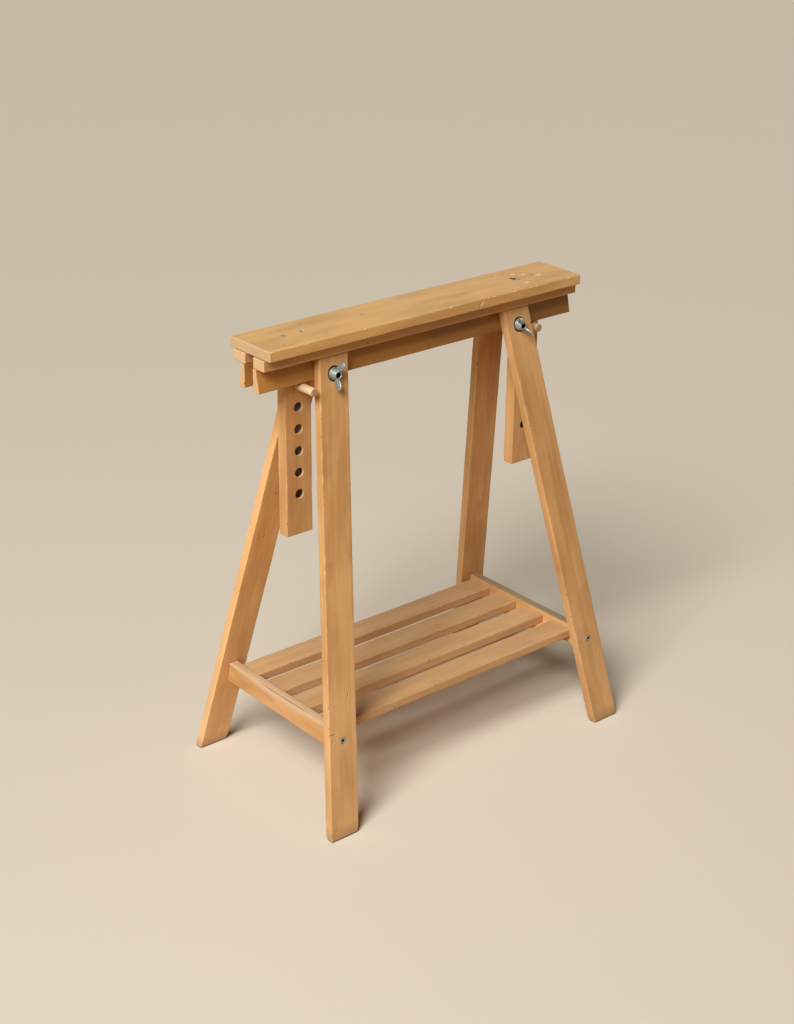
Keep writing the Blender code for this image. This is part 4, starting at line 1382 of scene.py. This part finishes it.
# %% [markdown]
# ## Bolts, washers and wing nuts
# A long bolt runs through each pair of legs and both rails. Its round head sits in the rear leg, and a wing
# nut with a washer under it draws everything tight at the front. Bolts and washers are turned.
# A wing nut is cast in one piece, so its hub and wings flow into each other. Joining the parts with a voxel
# Remesh modifier and smoothing the result gives that soft cast look, and the bore is drilled last.

# %% Bolts and washers
BOLT_RADIUS = 0.004
BOLT_HEAD_RADIUS = 0.009
BOLT_HEAD_HEIGHT = 0.0045
BOLT_CHAMFER = 0.0008
DOME_POINTS = 9
WASHER_INNER = 0.0043
WASHER_OUTER = 0.0105
WASHER_EDGE = 0.0003
END_SHADE = 0.8
WASHER_SHADE = 1.0


def bolt_outline(length):
    """Half the outline of a round-head bolt, from its chamfered end to the top of its dome."""
    outline = [(0, length), (BOLT_RADIUS - BOLT_CHAMFER, length), (BOLT_RADIUS, length - BOLT_CHAMFER),
               (BOLT_RADIUS, 0)]
    for number in range(DOME_POINTS):
        angle = math.radians(90.0) * number / (DOME_POINTS - 1)
        outline.append((BOLT_HEAD_RADIUS * math.cos(angle), -BOLT_HEAD_HEIGHT * math.sin(angle)))
    return outline


def washer_outline(thickness):
    """The closed outline of a flat ring with broken edges."""
    ring = [(WASHER_INNER, 0), (WASHER_OUTER - WASHER_EDGE, 0), (WASHER_OUTER, WASHER_EDGE),
            (WASHER_OUTER, thickness - WASHER_EDGE), (WASHER_OUTER - WASHER_EDGE, thickness),
            (WASHER_INNER, thickness)]
    return ring + ring[:1]


for side in SIDES:
    low, high = (Vector(corner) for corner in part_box(f"bolt_{side}"))
    middle = (low + high) / 2
    seat = Vector((middle.x, high.y - BOLT_HEAD_HEIGHT, middle.z))
    mesh = turned(bolt_outline(seat.y - low.y), DRILL_STEPS, Matrix.Translation(seat) @ FORWARD)
    # painted shade on the bolt's end, which sits deep in the nut
    store(mesh, "bore", "FLOAT", (points_of(mesh)[:, 1] < low.y + 2 * BOLT_CHAMFER) * END_SHADE)
    dress(new_piece(f"bolt_{side}_turned", mesh, zinc), "frame", "zinc_steel", f"bolt_{side}")
    low, high = (Vector(corner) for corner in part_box(f"washer_{side}"))
    seat = Vector((middle.x, high.y, middle.z))
    mesh = turned(washer_outline(high.y - low.y), DRILL_STEPS, Matrix.Translation(seat) @ FORWARD)
    # painted shade over the whole washer, deep in its counterbore
    store(mesh, "bore", "FLOAT", np.full(len(mesh.vertices), WASHER_SHADE))
    dress(new_piece(f"washer_{side}_turned", mesh, zinc), f"washer_{side}", "zinc_steel", f"washer_{side}")

# %% Wing nuts
HUB_BASE = 0.0099
HUB_TOP = 0.00625
HUB_HEIGHT = 0.012
HUB_EDGE = 0.0007
WING_REACH = 0.0127
WING_RISE = 0.0140
WING_SIZE = Vector((0.0090, 0.00625, 0.0021))
WING_TILT = math.radians(45.0)
NUT_TURN = {"left": math.radians(12.0), "right": math.radians(-38.0)}
WING_STEPS = 40
FLAT_FACES = 0.55                 # a power below one flattens the broad faces of a wing
CAST_VOXEL = 0.00045
SOFT_PASSES = 6
NUT_BORE = 0.0043
# the painted shade in a nut's bore starts this deep, and it also covers the nut's foot up to DARK_FOOT
SHADE_FROM = 0.0018
DARK_FOOT = 0.0016


def wing(direction):
    """One wing: a flattened oval that flares up and outwards."""
    shape = bmesh.new()
    bmesh.ops.create_uvsphere(shape, u_segments=WING_STEPS, v_segments=WING_STEPS // 2, radius=1.0)
    for vert in shape.verts:
        flat = math.copysign(abs(vert.co.z) ** FLAT_FACES, vert.co.z)
        vert.co = Vector((vert.co.x * WING_SIZE.x, vert.co.y * WING_SIZE.y, flat * WING_SIZE.z))
    flare = Matrix.Rotation(-direction * WING_TILT, 4, "Y")
    place = Matrix.Translation((direction * WING_REACH, 0, WING_RISE)) @ flare @ FORWARD
    bmesh.ops.transform(shape, matrix=place, verts=shape.verts)
    mesh = bpy.data.meshes.new("wing")
    shape.to_mesh(mesh)
    shape.free()
    return mesh


def nut_place(side):
    """A nut's frame: Z to the front along the bolt, X along the wings."""
    joints = frame["record"]["behaviour"]["joints"]
    joint = next(joint for joint in joints if joint["name"] == f"wing_nut_{side}_turn")
    wings = Vector((math.sin(NUT_TURN[side]), 0, math.cos(NUT_TURN[side])))
    forward = -Y
    turn = Matrix((wings, forward.cross(wings), forward)).transposed()
    return Matrix.Translation(joint["pos_m"]) @ turn.to_4x4()


def make_wing_nut(side):
    """Cast a hub and two wings in one, then drill the bore."""
    hub = [(0, HUB_HEIGHT), (HUB_TOP - HUB_EDGE, HUB_HEIGHT), (HUB_TOP, HUB_HEIGHT - HUB_EDGE),
           (HUB_BASE, HUB_EDGE), (HUB_BASE - HUB_EDGE, 0), (0, 0)]
    whole = bmesh.new()
    whole.from_mesh(turned(hub, DRILL_STEPS, Matrix.Identity(4)))
    for direction in (-1, 1):
        whole.from_mesh(wing(direction))
    mesh = bpy.data.meshes.new("nut")
    whole.to_mesh(mesh)
    whole.free()
    nut = new_piece(f"wing_nut_{side}_cast", mesh, zinc)
    remesh = nut.modifiers.new("cast", "REMESH")
    remesh.mode = "VOXEL"
    remesh.voxel_size = CAST_VOXEL
    smooth = nut.modifiers.new("soft", "SMOOTH")
    smooth.factor = 0.5
    smooth.iterations = SOFT_PASSES
    settle(nut)
    bore = [(0, HUB_HEIGHT + DRILL_START), (NUT_BORE + HUB_EDGE + DRILL_START, HUB_HEIGHT + DRILL_START),
            (NUT_BORE, HUB_HEIGHT - HUB_EDGE), (NUT_BORE, HUB_HEIGHT - SHADE_FROM), (NUT_BORE, -DRILL_START),
            (0, -DRILL_START)]
    mesh = drill(nut, [turned(bore, DRILL_STEPS, Matrix.Identity(4))])
    points = points_of(mesh)
    from_axis = np.hypot(points[:, 0], points[:, 1])
    in_bore = (from_axis < NUT_BORE + GRID_SLACK) & (points[:, 2] < HUB_HEIGHT - HUB_EDGE)
    # painted shade in the bore and on the foot that sits in the counterbore
    store(mesh, "bore", "FLOAT", in_bore | (points[:, 2] < DARK_FOOT))
    mesh.transform(nut_place(side))
    mesh.shade_smooth()
    mesh.set_sharp_from_angle(angle=SMOOTH_LIMIT)
    mesh.materials.clear()
    mesh.materials.append(zinc)
    return nut


for side in SIDES:
    nut = make_wing_nut(side)
    dress(nut, f"wing_nut_{side}", "zinc_steel", f"wing_nut_{side}")
    print(f"wing_nut_{side}:", len(nut.data.polygons), "faces")

# %% Update the scene
bpy.context.view_layer.update()
